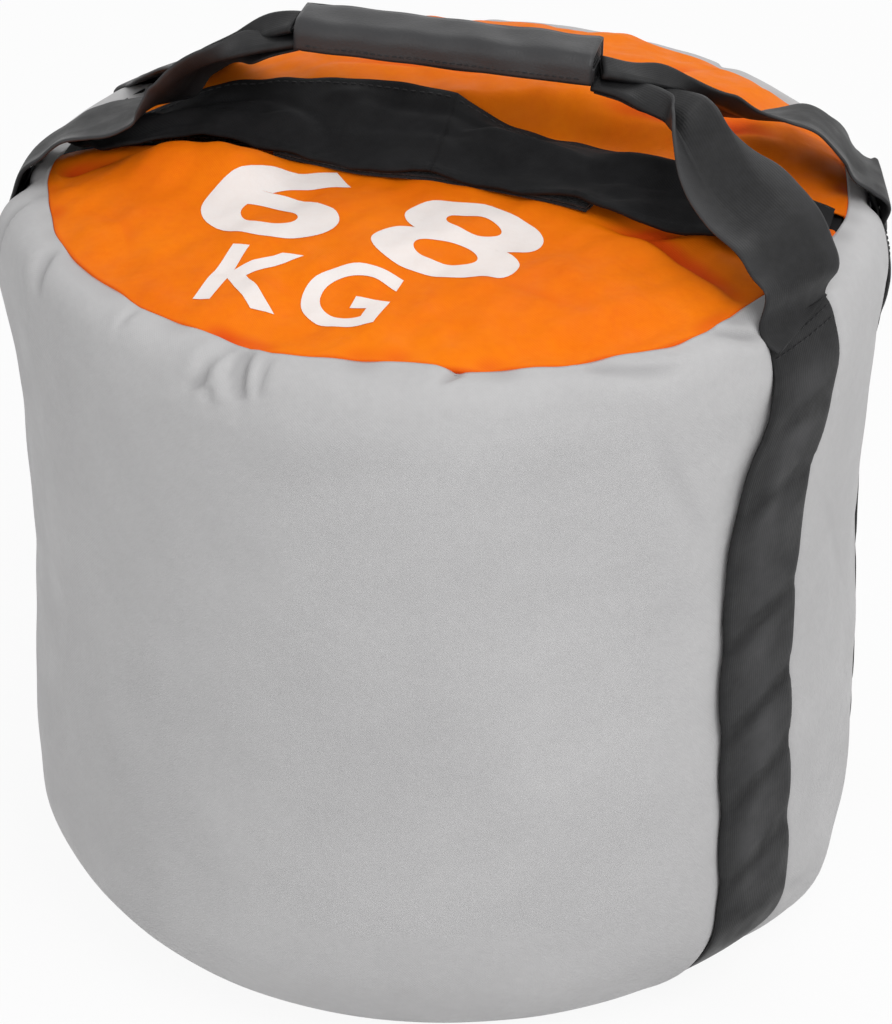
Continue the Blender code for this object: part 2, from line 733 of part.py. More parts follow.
def wall_heights():
    """Heights of the wall's rows under the stitch line, with one more in each long span."""
    rows = [height for _, height in PROFILE if BASE_CORNER < height < STITCH_LEVEL - FABRIC * 4]
    heights = []
    for above, below in zip([STITCH_LEVEL] + rows, rows):
        if above - below > WEBBING_WIDTH / 2:
            heights.append((above + below) / 2)
        heights.append(below)
    return heights


def strap_route(right_y, left_y, right_drift, left_drift):
    """Middle line of a webbing loop, from its right stitch line round to its left one."""
    heights = [STITCH_LEVEL - LEG_STITCH_GAP]
    heights += wall_heights()
    heights += [BASE_CORNER * (1 - sin(radians(CORNER_END_DEGREES) * step / STRAP_CORNER_STEPS))
                for step in range(STRAP_CORNER_STEPS + 1)]
    slope = (right_y - left_y) / (2 * BAG_RADIUS)
    middle = (right_y + left_y) / 2
    sides = []
    for right in (True, False):
        side = []
        for height in heights:
            place = min(DENSE, key=lambda spot: abs(spot[1] - height) + (spot[0] < BASE_SEAM_RADIUS))
            x, y = webbing_line(right_y, left_y, place[0], right)
            drift = right_drift if right else left_drift
            angle = atan2(y, x) + drift * smooth_step(height, DRIFT_START_SHARE * WALL_HEIGHT,
                                                      STITCH_LEVEL)
            side.append(Vector((place[0] * cos(angle), place[0] * sin(angle), place[1])))
        edge_y = abs(side[-1].y) + WEBBING_WIDTH / 2
        inner_x = sqrt(BASE_SEAM_RADIUS ** 2 - edge_y ** 2) * (1 if right else -1)
        start_x = side[-1].x
        for step in range(1, STRAP_BASE_STEPS + 1):
            x = start_x + (inner_x - start_x) * step / STRAP_BASE_STEPS
            side.append(Vector((x, middle + slope * x, BASE_SEAM_HEIGHT)))
        sides.append(side)
    return sides[0] + list(reversed(sides[1])), Vector((-slope, 1.0, 0.0)).normalized()


def body_strap(name, right_y, left_y, right_drift, left_drift):
    """A webbing loop: down one side from the stitch line, under the base, up the other."""
    lowest = BASE_WEBBING_GAP
    route, plan_across = strap_route(right_y, left_y, right_drift, left_drift)
    rings = []
    for index, point in enumerate(route):
        ahead = route[min(index + 1, len(route) - 1)]
        behind = route[max(index - 1, 0)]
        along = (ahead - behind).normalized()
        normal = on_wall(point, 1.0) - on_wall(point, 0.0)
        across = normal.cross(along).normalized()
        if across.dot(plan_across) < 0:
            across = -across
        low = 1.0 - smooth_step(point.z, BASE_SEAM_HEIGHT, BASE_CORNER)
        across = across.lerp(plan_across, low)
        across.normalize()
        inner, outer = [], []
        for column in range(STRAP_COLUMNS + 1):
            shift = WEBBING_WIDTH * (column / STRAP_COLUMNS - 0.5)
            spot = point + across * shift
            if index in (0, len(route) - 1):
                spot = round_the_wall(point, shift * (1 if point.x > 0 else -1))
            gap = WEBBING_WALL_GAP + CORNER_EXTRA_GAP * low
            near = on_wall(spot, gap)
            far = on_wall(spot, gap + WEBBING_THICKNESS)
            near.z = max(near.z, lowest + WEBBING_THICKNESS)
            far.z = max(far.z, lowest)
            inner.append(near)
            outer.append(far)
        rings.append(inner + outer[::-1])
    return loft(name, rings, BLACK_WEBBING_LOOK)


def bezier(points, t):
    """A place on a cubic Bezier curve."""
    a, b, c, d = points
    return (a * (1 - t) ** 3 + b * (3 * (1 - t) ** 2 * t) + c * (3 * (1 - t) * t * t)
            + d * t ** 3)


def grip_place(x, y, z):
    """A place given in the grip's own frame, in the part's frame."""
    tilt = radians(GRIP_TILT_DEGREES)
    return Vector((x * cos(tilt) + z * sin(tilt), GRIP_Y + y, GRIP_Z - x * sin(tilt) + z * cos(tilt)))


BUNDLE_Y = (GRIP_SKIN * 2 + GRIP_STRIP * 2 + FIT_GAP * 4 - GRIP_SKIN) / 2


def handle_leg(name, carrier_name, angle, side, upper, pull):
    """Webbing from its stitch line over the rim, turned on edge and doubled at the grip.

    The sections go from flat webbing to doubled webbing, so this is a loft.
    """
    leaves = max(STITCH_LEVEL, LEG_LEAVES_WALL_SHARE * WALL_HEIGHT)
    stitches, on_rim = [
        on_wall((BAG_RADIUS * cos(angle), BAG_RADIUS * sin(angle), height), 0.0)
        for height in (STITCH_LEVEL, leaves)]
    outward = Vector((cos(angle), sin(angle), 0.0))
    tangent = Vector((-sin(angle), cos(angle), 0.0)) * side
    stack = (HANDLE_END_THICKNESS + HANDLE_STACK_GAP) / 2 * (1 if upper else -1)
    end = grip_place(side * (GRIP_LENGTH / 2 + LEG_TO_GRIP_GAP), BUNDLE_Y, stack)
    end_along = grip_place(side, 0, 0) - grip_place(0, 0, 0)
    lift = WEBBING_WALL_GAP + WEBBING_THICKNESS / 2
    start = on_rim + outward * lift
    rise = Vector((0, 0, WALL_HEIGHT - leaves + LEG_RIM_CLEARANCE))
    route = [start, start + rise - outward * WEBBING_THICKNESS, end + end_along * pull, end]
    hinge = on_wall(stitches, WEBBING_WALL_GAP + WEBBING_THICKNESS)
    carrier = axis_empty(carrier_name, hinge)
    climb = ceil((leaves - STITCH_LEVEL) / (WEBBING_WIDTH / 2))
    rings = []
    for row in range(climb + 1):
        height = STITCH_LEVEL + (leaves - STITCH_LEVEL) * row / max(climb, 1)
        level = on_wall((on_rim.x, on_rim.y, height), 0.0)
        spots = [round_the_wall(level, column * side * WEBBING_WIDTH / 2) for column in (-1, 0, 1)]
        inner = [on_wall(spot, WEBBING_WALL_GAP) for spot in spots]
        outer = [on_wall(spot, WEBBING_WALL_GAP + WEBBING_THICKNESS) for spot in spots]
        rings.append([spot - hinge for spot in inner + outer[::-1]])
    for step in range(1, LEG_STEPS + 1):
        t = step / LEG_STEPS
        middle = bezier(route, t)
        ahead = bezier(route, min(t + 1 / LEG_STEPS, 1.0))
        along = (ahead - bezier(route, t - 1 / LEG_STEPS)).normalized()
        if step == LEG_STEPS:
            along = -end_along
        fold = smooth_step(t, LEG_FOLD_START_SHARE, 1.0)
        across = tangent.lerp(Vector((0, 1, 0)), smooth_step(t, LEG_TURN_START_SHARE, 1.0))
        across = (across - along * across.dot(along)).normalized()
        face = across.cross(along).normalized() * side
        width = WEBBING_WIDTH + (HANDLE_END_WIDTH - WEBBING_WIDTH) * fold
        deep = WEBBING_THICKNESS + (HANDLE_END_THICKNESS - WEBBING_THICKNESS) * fold
        bow = on_wall_bow(width) * (1 - smooth_step(t, 0.0, LEG_CUP_END_SHARE))
        spots = [middle + across * (column * width / 2) - face * (bow * abs(column)) - hinge
                 for column in (-1, 0, 1)]
        inner = [spot - face * deep / 2 for spot in spots]
        outer = [spot + face * deep / 2 for spot in spots]
        rings.append(inner + outer[::-1])
    return loft(name, rings, BLACK_WEBBING_LOOK, carrier), hinge


def on_wall_bow(width):
    """How far the edges of flat webbing fall back when it lies round the wall."""
    return BAG_RADIUS - sqrt(BAG_RADIUS ** 2 - (width / 2) ** 2)


def section_strip(name, path, thickness, length, look, carrier, offset=0.0):
    """A bent sheet of constant section along X, from a path in Y and Z."""
    rows = [[(side * length / 2, y, z) for y, z in path] for side in (1, -1)]
    return sheet(name, rows, thickness, offset, look, parent=carrier)


def rounded(corners, radius, steps=3):
    """A path through corners, with each inner corner rounded by an arc."""
    path = [corners[0]]
    for before, corner, after in zip(corners, corners[1:], corners[2:]):
        spot = Vector(corner)
        back = (Vector(before) - spot).normalized() * radius
        on = (Vector(after) - spot).normalized() * radius
        centre = spot + back + on
        for step in range(steps + 1):
            turn = pi / 2 * step / steps
            path.append(tuple(centre - on * cos(turn) - back * sin(turn)))
    path.append(corners[-1])
    return path


def hand_grip():
    """The padded wrap: an inner sheet round the webbing and a flap that closes over it."""
    carrier = axis_empty("grip_carrier", (0.0, GRIP_Y, GRIP_Z), radians(GRIP_TILT_DEGREES))
    half_y, half_z = GRIP_WIDTH / 2, GRIP_HEIGHT / 2
    skin = GRIP_SKIN / 2
    front_layer = -half_y + 3 * skin + 2 * GRIP_STRIP + 3 * FIT_GAP
    roof = half_z - GRIP_SKIN - FIT_GAP
    wrap = rounded([(half_y - skin, roof), (half_y - skin, -half_z + skin),
                    (front_layer, -half_z + skin), (front_layer, roof - GRIP_ROUND)], GRIP_ROUND / 2)
    section_strip("grip_wrap", wrap, GRIP_SKIN, GRIP_LENGTH, BLACK_FABRIC_LOOK, carrier)
    hinge_y, hinge_z = half_y - skin, half_z - skin
    lid = axis_empty("wrap_flap_carrier", (0.0, hinge_y, hinge_z), parent=carrier)
    low = -half_z + GRIP_LIP
    flap = rounded([(hinge_y, half_z - skin), (-half_y + skin, half_z - skin),
                    (-half_y + skin, low)], GRIP_ROUND)
    flap = [(y - hinge_y, z - hinge_z) for y, z in flap]
    section_strip("wrap_flap", flap, GRIP_SKIN, GRIP_LENGTH, BLACK_FABRIC_LOOK, lid)
    strip_length = GRIP_LENGTH - 2 * GRIP_LIP
    size = (strip_length, GRIP_STRIP, GRIP_STRIP_HEIGHT)
    middle_z = low + GRIP_STRIP_HEIGHT / 2 + FIT_GAP
    hook_y = -half_y + GRIP_SKIN + FIT_GAP + GRIP_STRIP / 2
    block("wrap_hook_strip", size, (0.0, hook_y - hinge_y, middle_z - hinge_z),
          BLACK_FABRIC_LOOK, lid)
    loop_y = hook_y + GRIP_STRIP + FIT_GAP
    block("wrap_loop_strip", size, (0.0, loop_y, middle_z), BLACK_FABRIC_LOOK, carrier)
    size = (GRIP_LENGTH, HANDLE_END_WIDTH, HANDLE_END_THICKNESS)
    stack = (HANDLE_END_THICKNESS + HANDLE_STACK_GAP) / 2
    for name, height in (("front_grip_webbing", -stack), ("rear_grip_webbing", stack)):
        block(name, size, (0.0, BUNDLE_Y, height), BLACK_WEBBING_LOOK, carrier)


def inset_line(line, distance):
    """A (radius, height) line moved inwards by a distance, square to itself."""
    moved = []
    for index, (radius, height) in enumerate(line):
        ahead = line[min(index + 1, len(line) - 1)]
        behind = line[max(index - 1, 0)]
        along = Vector((ahead[0] - behind[0], ahead[1] - behind[1])).normalized()
        moved.append((radius - distance * along.y, height + distance * along.x))
    return moved


def liner_profile(inset):
    """(radius, height) of the liner, or of the sand in it, from the base up to the mouth."""
    low = BASE_THICKNESS + BASE_BINDING_THICKNESS + 2 * FIT_GAP
    depth = FABRIC + WALL_FACET_SAG + LINER_WALL_GAP
    wall = [place for place in inset_line(list(reversed(PROFILE)), depth)
            if BASE_CORNER / 4 < place[1] < WALL_HEIGHT - GATHER_REACH]
    shoulder = WALL_HEIGHT - LINER_SHOULDER_DROP
    line = [(wall[0][0] - BASE_CORNER / 3, low)] + wall
    line.append((BAG_RADIUS - LINER_SHOULDER_INSET, shoulder - LINER_SHOULDER_INSET))
    line.append((BAG_RADIUS - 3 * LINER_SHOULDER_INSET, shoulder))
    line.append((LINER_MOUTH_RADIUS, WALL_HEIGHT - LINER_TOP_DROP))
    inner = inset_line(line, inset)
    return [(inner[0][0], low + inset)] + inner[1:]


def liner_bag():
    """The tough inner bag that holds the sand, open at its mouth under the zip."""
    line = liner_profile(0.0)
    line.insert(0, (LINER_THICKNESS, line[0][1]))
    mesh = bpy.data.meshes.new("liner_bag")
    points = [(radius, 0.0, height) for radius, height in reversed(line)]
    mesh.from_pydata(points, [(i, i + 1) for i in range(len(points) - 1)], [])
    part = add_object("liner_bag", mesh, LINER_LOOK)
    turn = part.modifiers.new("turn", "SCREW")
    turn.steps = LINER_SIDES
    turn.render_steps = LINER_SIDES
    turn.use_merge_vertices = True
    turn.merge_threshold = 0.0001
    turn.use_normal_calculate = True
    solidify(part, LINER_THICKNESS, -1.0)
    return part


def sand_fill():
    """The dry sand, a solid that fills the liner to just under its mouth."""
    line = liner_profile(LINER_THICKNESS + SAND_GAP)
    top = line[-1][1]
    profile = [(0.0, line[0][1])] + line + [(0.0, top)]
    return turned("sand_fill", list(reversed(profile)), SAND_LOOK, LINER_SIDES)


def liner_neck():
    """The liner's neck, rolled flat over its mouth, and the strip that holds it shut."""
    floor = WALL_HEIGHT - LINER_TOP_DROP + FIT_GAP
    centre_z = floor + NECK_HEIGHT / 2
    block("liner_neck", (NECK_LENGTH, NECK_WIDTH, NECK_HEIGHT), (0.0, 0.0, centre_z),
          LINER_LOOK, bevel=NECK_ROUND)
    top = floor + NECK_HEIGHT + FIT_GAP + NECK_STRIP_THICKNESS / 2
    block("liner_neck_strip", (NECK_LENGTH - 2 * NECK_STRIP_WIDTH, NECK_STRIP_WIDTH,
                               NECK_STRIP_THICKNESS), (0.0, 0.0, top), BLACK_FABRIC_LOOK)


GREY_FABRIC_LOOK = (GREY_FABRIC, 0.72)
ORANGE_FABRIC_LOOK = (ORANGE_FABRIC, 0.6)
BLACK_WEBBING_LOOK = (BLACK_WEBBING, 0.55)
BLACK_FABRIC_LOOK = (BLACK_FABRIC, 0.8)
BLACK_PLASTIC_LOOK = (BLACK_PLASTIC, 0.4)
LINER_LOOK = (LINER_PLASTIC, 0.5)
SAND_LOOK = (SAND, 0.95)
WALL_FACET_SAG = BAG_RADIUS * (1 - cos(pi / WALL_SIDES)) + FIT_GAP
BASE_PANEL_RADIUS = (BASE_SEAM_RADIUS - FABRIC * cos(radians(CORNER_END_DEGREES))
                     - FIT_GAP - WALL_FACET_SAG)

clear_scene()
PARTS = collection(COLLECTION_NAME)
CUTTERS = collection("cutters")

side_wall()
base_panel()
base_binding()
top_binding()
top_panel("top_front_panel", -1, ORANGE_FABRIC_LOOK)
top_panel("top_rear_panel", 1, ORANGE_FABRIC_LOOK)

zip_tape("zip_tape_front", -1)
zip_tape("zip_tape_rear", 1)
zip_chain("zip_chain_front", -1)
zip_chain("zip_chain_rear", 1)
zip_stop("zip_stop_left", -1)
zip_stop("zip_stop_right", 1)

slider_turn = SLIDER_PLACE / ZIP_ARC
slider_carrier = axis_empty("slider_carrier", along_zip(SLIDER_PLACE, 0.0, 0.0), slider_turn)
zip_slider(slider_carrier)
pull_carrier = axis_empty("pull_carrier", (0.0, 0.0, pull_height()), parent=slider_carrier)
zip_pull(pull_carrier)

flap_hinge = Vector((0.0, FLAP_REAR_Y, top_height(FLAP_HALF_LENGTH / 2, FLAP_REAR_Y)))
flap_carrier = axis_empty("flap_carrier", flap_hinge)
flap_piece("closure_flap", -FLAP_HALF_LENGTH, FLAP_HALF_LENGTH, FLAP_MIDDLE_STEPS, flap_carrier,
           flap_hinge)
flap_piece("flap_end_left", -FLAP_END_X, -FLAP_HALF_LENGTH - FIT_GAP, FLAP_END_STEPS)
flap_piece("flap_end_right", FLAP_HALF_LENGTH + FIT_GAP, FLAP_END_X, FLAP_END_STEPS)
hook_lift = STRIP_THICKNESS + 2 * FIT_GAP
hook_rows = [[point - flap_hinge for point in row] for row in strip_rows(hook_lift)]
sheet("flap_hook_strip", hook_rows, STRIP_THICKNESS, 1.0, BLACK_FABRIC_LOOK, parent=flap_carrier)
sheet("front_loop_strip", strip_rows(FIT_GAP), STRIP_THICKNESS, 1.0, BLACK_FABRIC_LOOK)

front_right, front_left, rear_right, rear_left = (radians(drift) for drift in (
    FRONT_RIGHT_DRIFT_DEGREES, FRONT_LEFT_DRIFT_DEGREES,
    REAR_RIGHT_DRIFT_DEGREES, REAR_LEFT_DRIFT_DEGREES))
body_strap("front_body_strap", -FRONT_RIGHT_Y, -FRONT_LEFT_Y, front_right, front_left)
body_strap("rear_body_strap", REAR_RIGHT_Y, REAR_LEFT_Y, rear_right, rear_left)

hand_grip()
HINGES = {}
for leg, right_y, left_y, drift, side, upper, pull in (
        ("front_right_leg", -FRONT_RIGHT_Y, -FRONT_LEFT_Y, front_right, 1, False, FRONT_LEG_PULL),
        ("front_left_leg", -FRONT_RIGHT_Y, -FRONT_LEFT_Y, front_left, -1, False, FRONT_LEG_PULL),
        ("rear_right_leg", REAR_RIGHT_Y, REAR_LEFT_Y, rear_right, 1, True, REAR_LEG_PULL),
        ("rear_left_leg", REAR_RIGHT_Y, REAR_LEFT_Y, rear_left, -1, True, REAR_LEG_PULL)):
    turn = stitch_angle(right_y, left_y, drift, side > 0)
    HINGES[leg] = handle_leg(leg, leg + "_carrier", turn, side, upper, pull)[1]

liner_bag()
sand_fill()
liner_neck()
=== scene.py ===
"""Looks of a strength sandbag: fabric, webbing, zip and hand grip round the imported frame.

Metres, in the frame's own axes: +X runs along the zip, -Y is the front, +Z is up.
"""
from __future__ import annotations

import logging
import math
from dataclasses import dataclass, field
from enum import Enum

import bmesh
import bpy
import numpy as np
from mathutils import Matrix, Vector
from mathutils.bvhtree import BVHTree


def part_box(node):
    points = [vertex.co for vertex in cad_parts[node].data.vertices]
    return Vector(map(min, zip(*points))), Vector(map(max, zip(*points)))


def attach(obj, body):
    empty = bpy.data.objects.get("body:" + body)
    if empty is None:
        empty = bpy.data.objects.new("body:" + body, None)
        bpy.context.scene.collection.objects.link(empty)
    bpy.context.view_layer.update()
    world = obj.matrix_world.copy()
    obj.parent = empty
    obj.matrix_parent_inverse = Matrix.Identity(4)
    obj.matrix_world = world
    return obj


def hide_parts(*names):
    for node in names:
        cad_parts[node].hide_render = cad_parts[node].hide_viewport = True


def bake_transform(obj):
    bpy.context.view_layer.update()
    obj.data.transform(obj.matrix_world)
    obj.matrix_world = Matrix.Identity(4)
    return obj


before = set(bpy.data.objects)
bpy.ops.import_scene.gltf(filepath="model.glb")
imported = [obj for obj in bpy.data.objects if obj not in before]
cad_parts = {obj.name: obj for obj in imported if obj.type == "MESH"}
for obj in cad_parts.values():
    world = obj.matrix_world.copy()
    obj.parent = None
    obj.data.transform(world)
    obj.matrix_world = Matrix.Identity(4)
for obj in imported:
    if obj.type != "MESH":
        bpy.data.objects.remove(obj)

LOG = logging.getLogger("sandbag")
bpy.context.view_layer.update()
CLOTH_UV = "cloth"
# Name of the vertex values that the finishes paint as shade in folds, or as sheen on the webbing
# and the black flap
SHADE_AND_SHEEN = "fold"
WELD = 1e-6
TINY = 1e-12

Array = np.ndarray
Piece = bpy.types.Object
Socket = bpy.types.NodeSocket


# ---- small helpers


def smooth(value: Array, start: float, end: float) -> Array:
    """Rise smoothly from 0 at start to 1 at end.

    Args:
        value: Places to read.
        start: Where the rise begins.
        end: Where the rise ends.

    Returns:
        The share of the rise at each place.
    """
    share = np.clip((np.asarray(value, float) - start) / (end - start), 0.0, 1.0)
    return share * share * (3.0 - 2.0 * share)


def bell(value: Array, width: float) -> Array:
    """A soft bump of height 1 about zero."""
    return np.exp(-((np.asarray(value, float) / width) ** 2))


def unit(vectors: Array) -> Array:
    """Vectors of length 1 in the same directions."""
    length = np.linalg.norm(vectors, axis=-1, keepdims=True)
    return np.asarray(vectors, float) / np.maximum(length, TINY)


def left_of(line: Array) -> Array:
    """Directions of length 1 to the left of a line in two coordinates."""
    along = unit(np.gradient(line, axis=0))
    return np.stack([-along[:, 1], along[:, 0]], axis=-1)


def run_along(line: Array) -> Array:
    """Length from a line's first place to each of its places."""
    return np.concatenate([[0.0], np.cumsum(np.linalg.norm(np.diff(line, axis=0), axis=1))])


def through(points: Array, count: int) -> Array:
    """Read a Catmull-Rom curve at even steps.

    Args:
        points: Places that the curve passes through, in order.
        count: How many places to read.

    Returns:
        The places on the curve, one row each.
    """
    points = np.asarray(points, float)
    padded = np.vstack([2 * points[0] - points[1], points, 2 * points[-1] - points[-2]])
    place = np.linspace(0.0, len(points) - 1.0, count)
    span = np.minimum(place.astype(int), len(points) - 2)
    t = (place - span)[:, None]
    a, b, c, d = (padded[span + shift] for shift in range(4))
    return 0.5 * (2 * b + (c - a) * t + (2 * a - 5 * b + 4 * c - d) * t**2
                  + (3 * b - a - 3 * c + d) * t**3)


def polar(radius: Array, angle: Array, height: Array) -> Array:
    """Places from radius, angle and height about the bag's axis."""
    return np.stack(np.broadcast_arrays(radius * np.cos(angle), radius * np.sin(angle),
                                        height), axis=-1)


@dataclass(frozen=True)
class Ripple:
    """Smooth, repeatable unevenness made of seeded sine waves."""

    length: float
    seed: int
    waves: int = 8

    def at(self, places: Array) -> Array:
        """Read the ripple.

        Args:
            places: Points of two or three coordinates, in metres.

        Returns:
            Values that mostly lie between -1.5 and 1.5.
        """
        draw = np.random.default_rng(self.seed)
        total = np.zeros(places.shape[:-1])
        for _ in range(self.waves):
            heading = unit(draw.normal(size=places.shape[-1]))
            length = self.length * draw.uniform(0.6, 1.7)
            total += np.sin(places @ heading * 2 * np.pi / length + draw.uniform(0, 2 * np.pi))
        return total / math.sqrt(self.waves / 2)


@dataclass(frozen=True)
class Crease:
    """A fold line pressed into cloth: sharp on one side and easing out on the other."""

    path: tuple[tuple[float, float], ...]
    depth: float
    sharp: float
    soft: float
    ridge_share: float

    def at(self, places: Array) -> Array:
        """How far the crease moves the cloth along its normal.

        Args:
            places: Points in the cloth's own two coordinates, in metres.

        Returns:
            The movement at each point, negative in the crease.
        """
        line = through(np.array(self.path), 8 * len(self.path))
        best = np.full(places.shape[:-1], np.inf)
        side = np.zeros(places.shape[:-1])
        run = np.zeros(places.shape[:-1])
        steps = len(line) - 1
        for index in range(steps):
            start, heading = line[index], line[index + 1] - line[index]
            length = float(heading @ heading)
            share = np.clip(((places - start) @ heading) / length, 0.0, 1.0)
            gap = places - start - share[..., None] * heading
            distance = np.hypot(gap[..., 0], gap[..., 1])
            nearer = distance < best
            best = np.where(nearer, distance, best)
            turn = heading[0] * gap[..., 1] - heading[1] * gap[..., 0]
            side = np.where(nearer, np.sign(turn), side)
            run = np.where(nearer, (index + share) / steps, run)
        taper = np.sin(np.pi * np.clip(run, 0.02, 0.98)) ** 0.7
        width = np.where(side > 0, self.soft, self.sharp)
        groove = -bell(best, width)
        ridge = np.where(side > 0, bell(best - 2.0 * width, width), 0.0)
        return self.depth * taper * (groove + self.ridge_share * ridge)


def creased(rows: tuple, places: Array, ridge_share: float = 0.4) -> Array:
    """Sum of creases given as rows of path, depth, sharp width and soft width."""
    return sum(Crease(*row, ridge_share).at(places) for row in rows)


def blank_object(name: str, mesh: bpy.types.Mesh) -> Piece:
    """Put a mesh in the scene under a piece's name.

    Args:
        name: The piece's name.
        mesh: Its mesh.

    Returns:
        The piece, linked to the scene.
    """
    piece = bpy.data.objects.new(name, mesh)
    bpy.context.scene.collection.objects.link(piece)
    return piece


def grid_mesh(name: str, grid: Array, closed: bool = False,
              cloth: Array | None = None) -> Piece:
    """Skin a grid of points with quads and lay cloth coordinates over it.

    Args:
        name: The piece's name.
        grid: Points, as rows by columns by 3, with the rows turning so that faces look out.
        closed: Whether the last column joins the first.
        cloth: Flat coordinates in metres, as rows by columns (one more where closed) by 2.

    Returns:
        The piece, smooth shaded.
    """
    rows, columns = grid.shape[:2]
    spans = columns if closed else columns - 1
    row, column = np.meshgrid(np.arange(rows - 1), np.arange(spans), indexing="ij")
    after = (column + 1) % columns
    faces = np.stack([row * columns + column, row * columns + after,
                      (row + 1) * columns + after, (row + 1) * columns + column], axis=-1)
    mesh = bpy.data.meshes.new(name)
    mesh.from_pydata(grid.reshape(-1, 3).tolist(), [], faces.reshape(-1, 4).tolist())
    if cloth is None:
        cloth = flat_coordinates(grid, closed)
    corners = np.stack([cloth[row, column], cloth[row, column + 1],
                        cloth[row + 1, column + 1], cloth[row + 1, column]], axis=2)
    layer = mesh.uv_layers.new(name=CLOTH_UV)
    layer.data.foreach_set("uv", corners.reshape(-1).astype(np.float32))
    mesh.shade_smooth()
    return blank_object(name, mesh)


def flat_coordinates(grid: Array, closed: bool) -> Array:
    """Lengths measured over a grid, along its middle row and its middle column.

    Args:
        grid: Points, as rows by columns by 3.
        closed: Whether the last column joins the first.

    Returns:
        One (along, across) pair for each point.
    """
    if closed:
        grid = np.concatenate([grid, grid[:, :1]], axis=1)
    middle_row, middle_column = grid[len(grid) // 2], grid[:, grid.shape[1] // 2]
    return np.stack(np.meshgrid(run_along(middle_row), run_along(middle_column)), axis=-1)


def loft_mesh(name: str, rings: Array, closed: bool = False) -> Piece:
    """Skin a solid over closed rings of equal count.

    Args:
        name: The piece's name.
        rings: Points, as rings by points by 3.
        closed: Whether the last ring joins the first; otherwise both ends are capped.

    Returns:
        The piece, smooth shaded, with its faces turned out.
    """
    count = rings.shape[1]
    along = run_along(rings.mean(axis=1))
    around = run_along(np.vstack([rings[0], rings[:1, 0]]))
    if closed:
        rings = np.concatenate([rings, rings[:1]], axis=0)
        along = np.append(along, along[-1] + np.diff(along).mean())
    across, run = np.meshgrid(around, along)
    piece = grid_mesh(name, rings, closed=True, cloth=np.stack([run, across], axis=-1))
    shape = bmesh.new()
    shape.from_mesh(piece.data)
    shape.verts.ensure_lookup_table()
    if closed:
        bmesh.ops.remove_doubles(shape, verts=shape.verts, dist=WELD)
    else:
        last = len(shape.verts) - count
        shape.faces.new([shape.verts[index] for index in range(count)])
        shape.faces.new([shape.verts[last + index] for index in reversed(range(count))])
    bmesh.ops.recalc_face_normals(shape, faces=shape.faces)
    shape.to_mesh(piece.data)
    shape.free()
    piece.data.shade_smooth()
    return piece


def band_section(width: float, thickness: float, columns: int = 12) -> Array:
    """A flat band's cross-section with rounded edges, as (across, out) pairs round it.

    Args:
        width: The band's width.
        thickness: Its thickness.
        columns: Points across each face.

    Returns:
        The pairs, in order round the section.
    """
    flat = width / 2 - thickness / 2
    across = np.linspace(-flat, flat, columns)
    turn = np.linspace(-np.pi / 2, np.pi / 2, 5)[1:-1]
    edge = np.stack([flat + thickness / 2 * np.cos(turn), thickness / 2 * np.sin(turn)], axis=-1)
    low = np.stack([across, np.full(columns, -thickness / 2)], axis=-1)
    return np.vstack([low, edge, -low, -edge])


def swept(route: Array, across: Array, sections: Array) -> Array:
    """Carry cross-sections along a route.

    Args:
        route: The middle line, one row per ring.
        across: The direction of the band's width at each ring.
        sections: One section for all rings, or one per ring, as (across, out) pairs.

    Returns:
        The rings of points.
    """
    along = unit(np.gradient(route, axis=0))
    across = unit(across - along * np.sum(across * along, axis=1, keepdims=True))
    out = np.cross(along, across)
    sections = np.broadcast_to(sections, (len(route), *sections.shape[-2:]))
    return (route[:, None] + across[:, None] * sections[..., :1]
            + out[:, None] * sections[..., 1:])


def paint_shade_and_sheen(piece: Piece, values: Array) -> None:
    """Keep one value per vertex, 0 to 1, that the finishes paint as shade in folds, or as sheen on
    the webbing and the black flap.
    """
    layer = piece.data.attributes.new(SHADE_AND_SHEEN, "FLOAT", "POINT")
    layer.data.foreach_set("value", np.clip(values, 0.0, 1.0).reshape(-1).astype(np.float32))


def thicken(piece: Piece, thickness: float) -> None:
    """Give a fabric surface its thickness inwards, with a rim.

    Args:
        piece: The fabric.
        thickness: How thick it is.
    """
    wall = piece.modifiers.new("thickness", "SOLIDIFY")
    wall.thickness = thickness
    wall.offset = -1.0
    wall.use_rim = True


# ---- finishes


class Slot(Enum):
    """Material slots of the part's record."""

    GREY = "grey_fabric"
    ORANGE = "orange_fabric"
    WEBBING = "black_webbing"
    BLACK = "black_fabric"
    GRIP = "grip_sheet"
    HOOK = "hook_and_loop"
    ZIP = "zip_plastic"
    LINER = "liner_sheet"
    SAND = "sand"


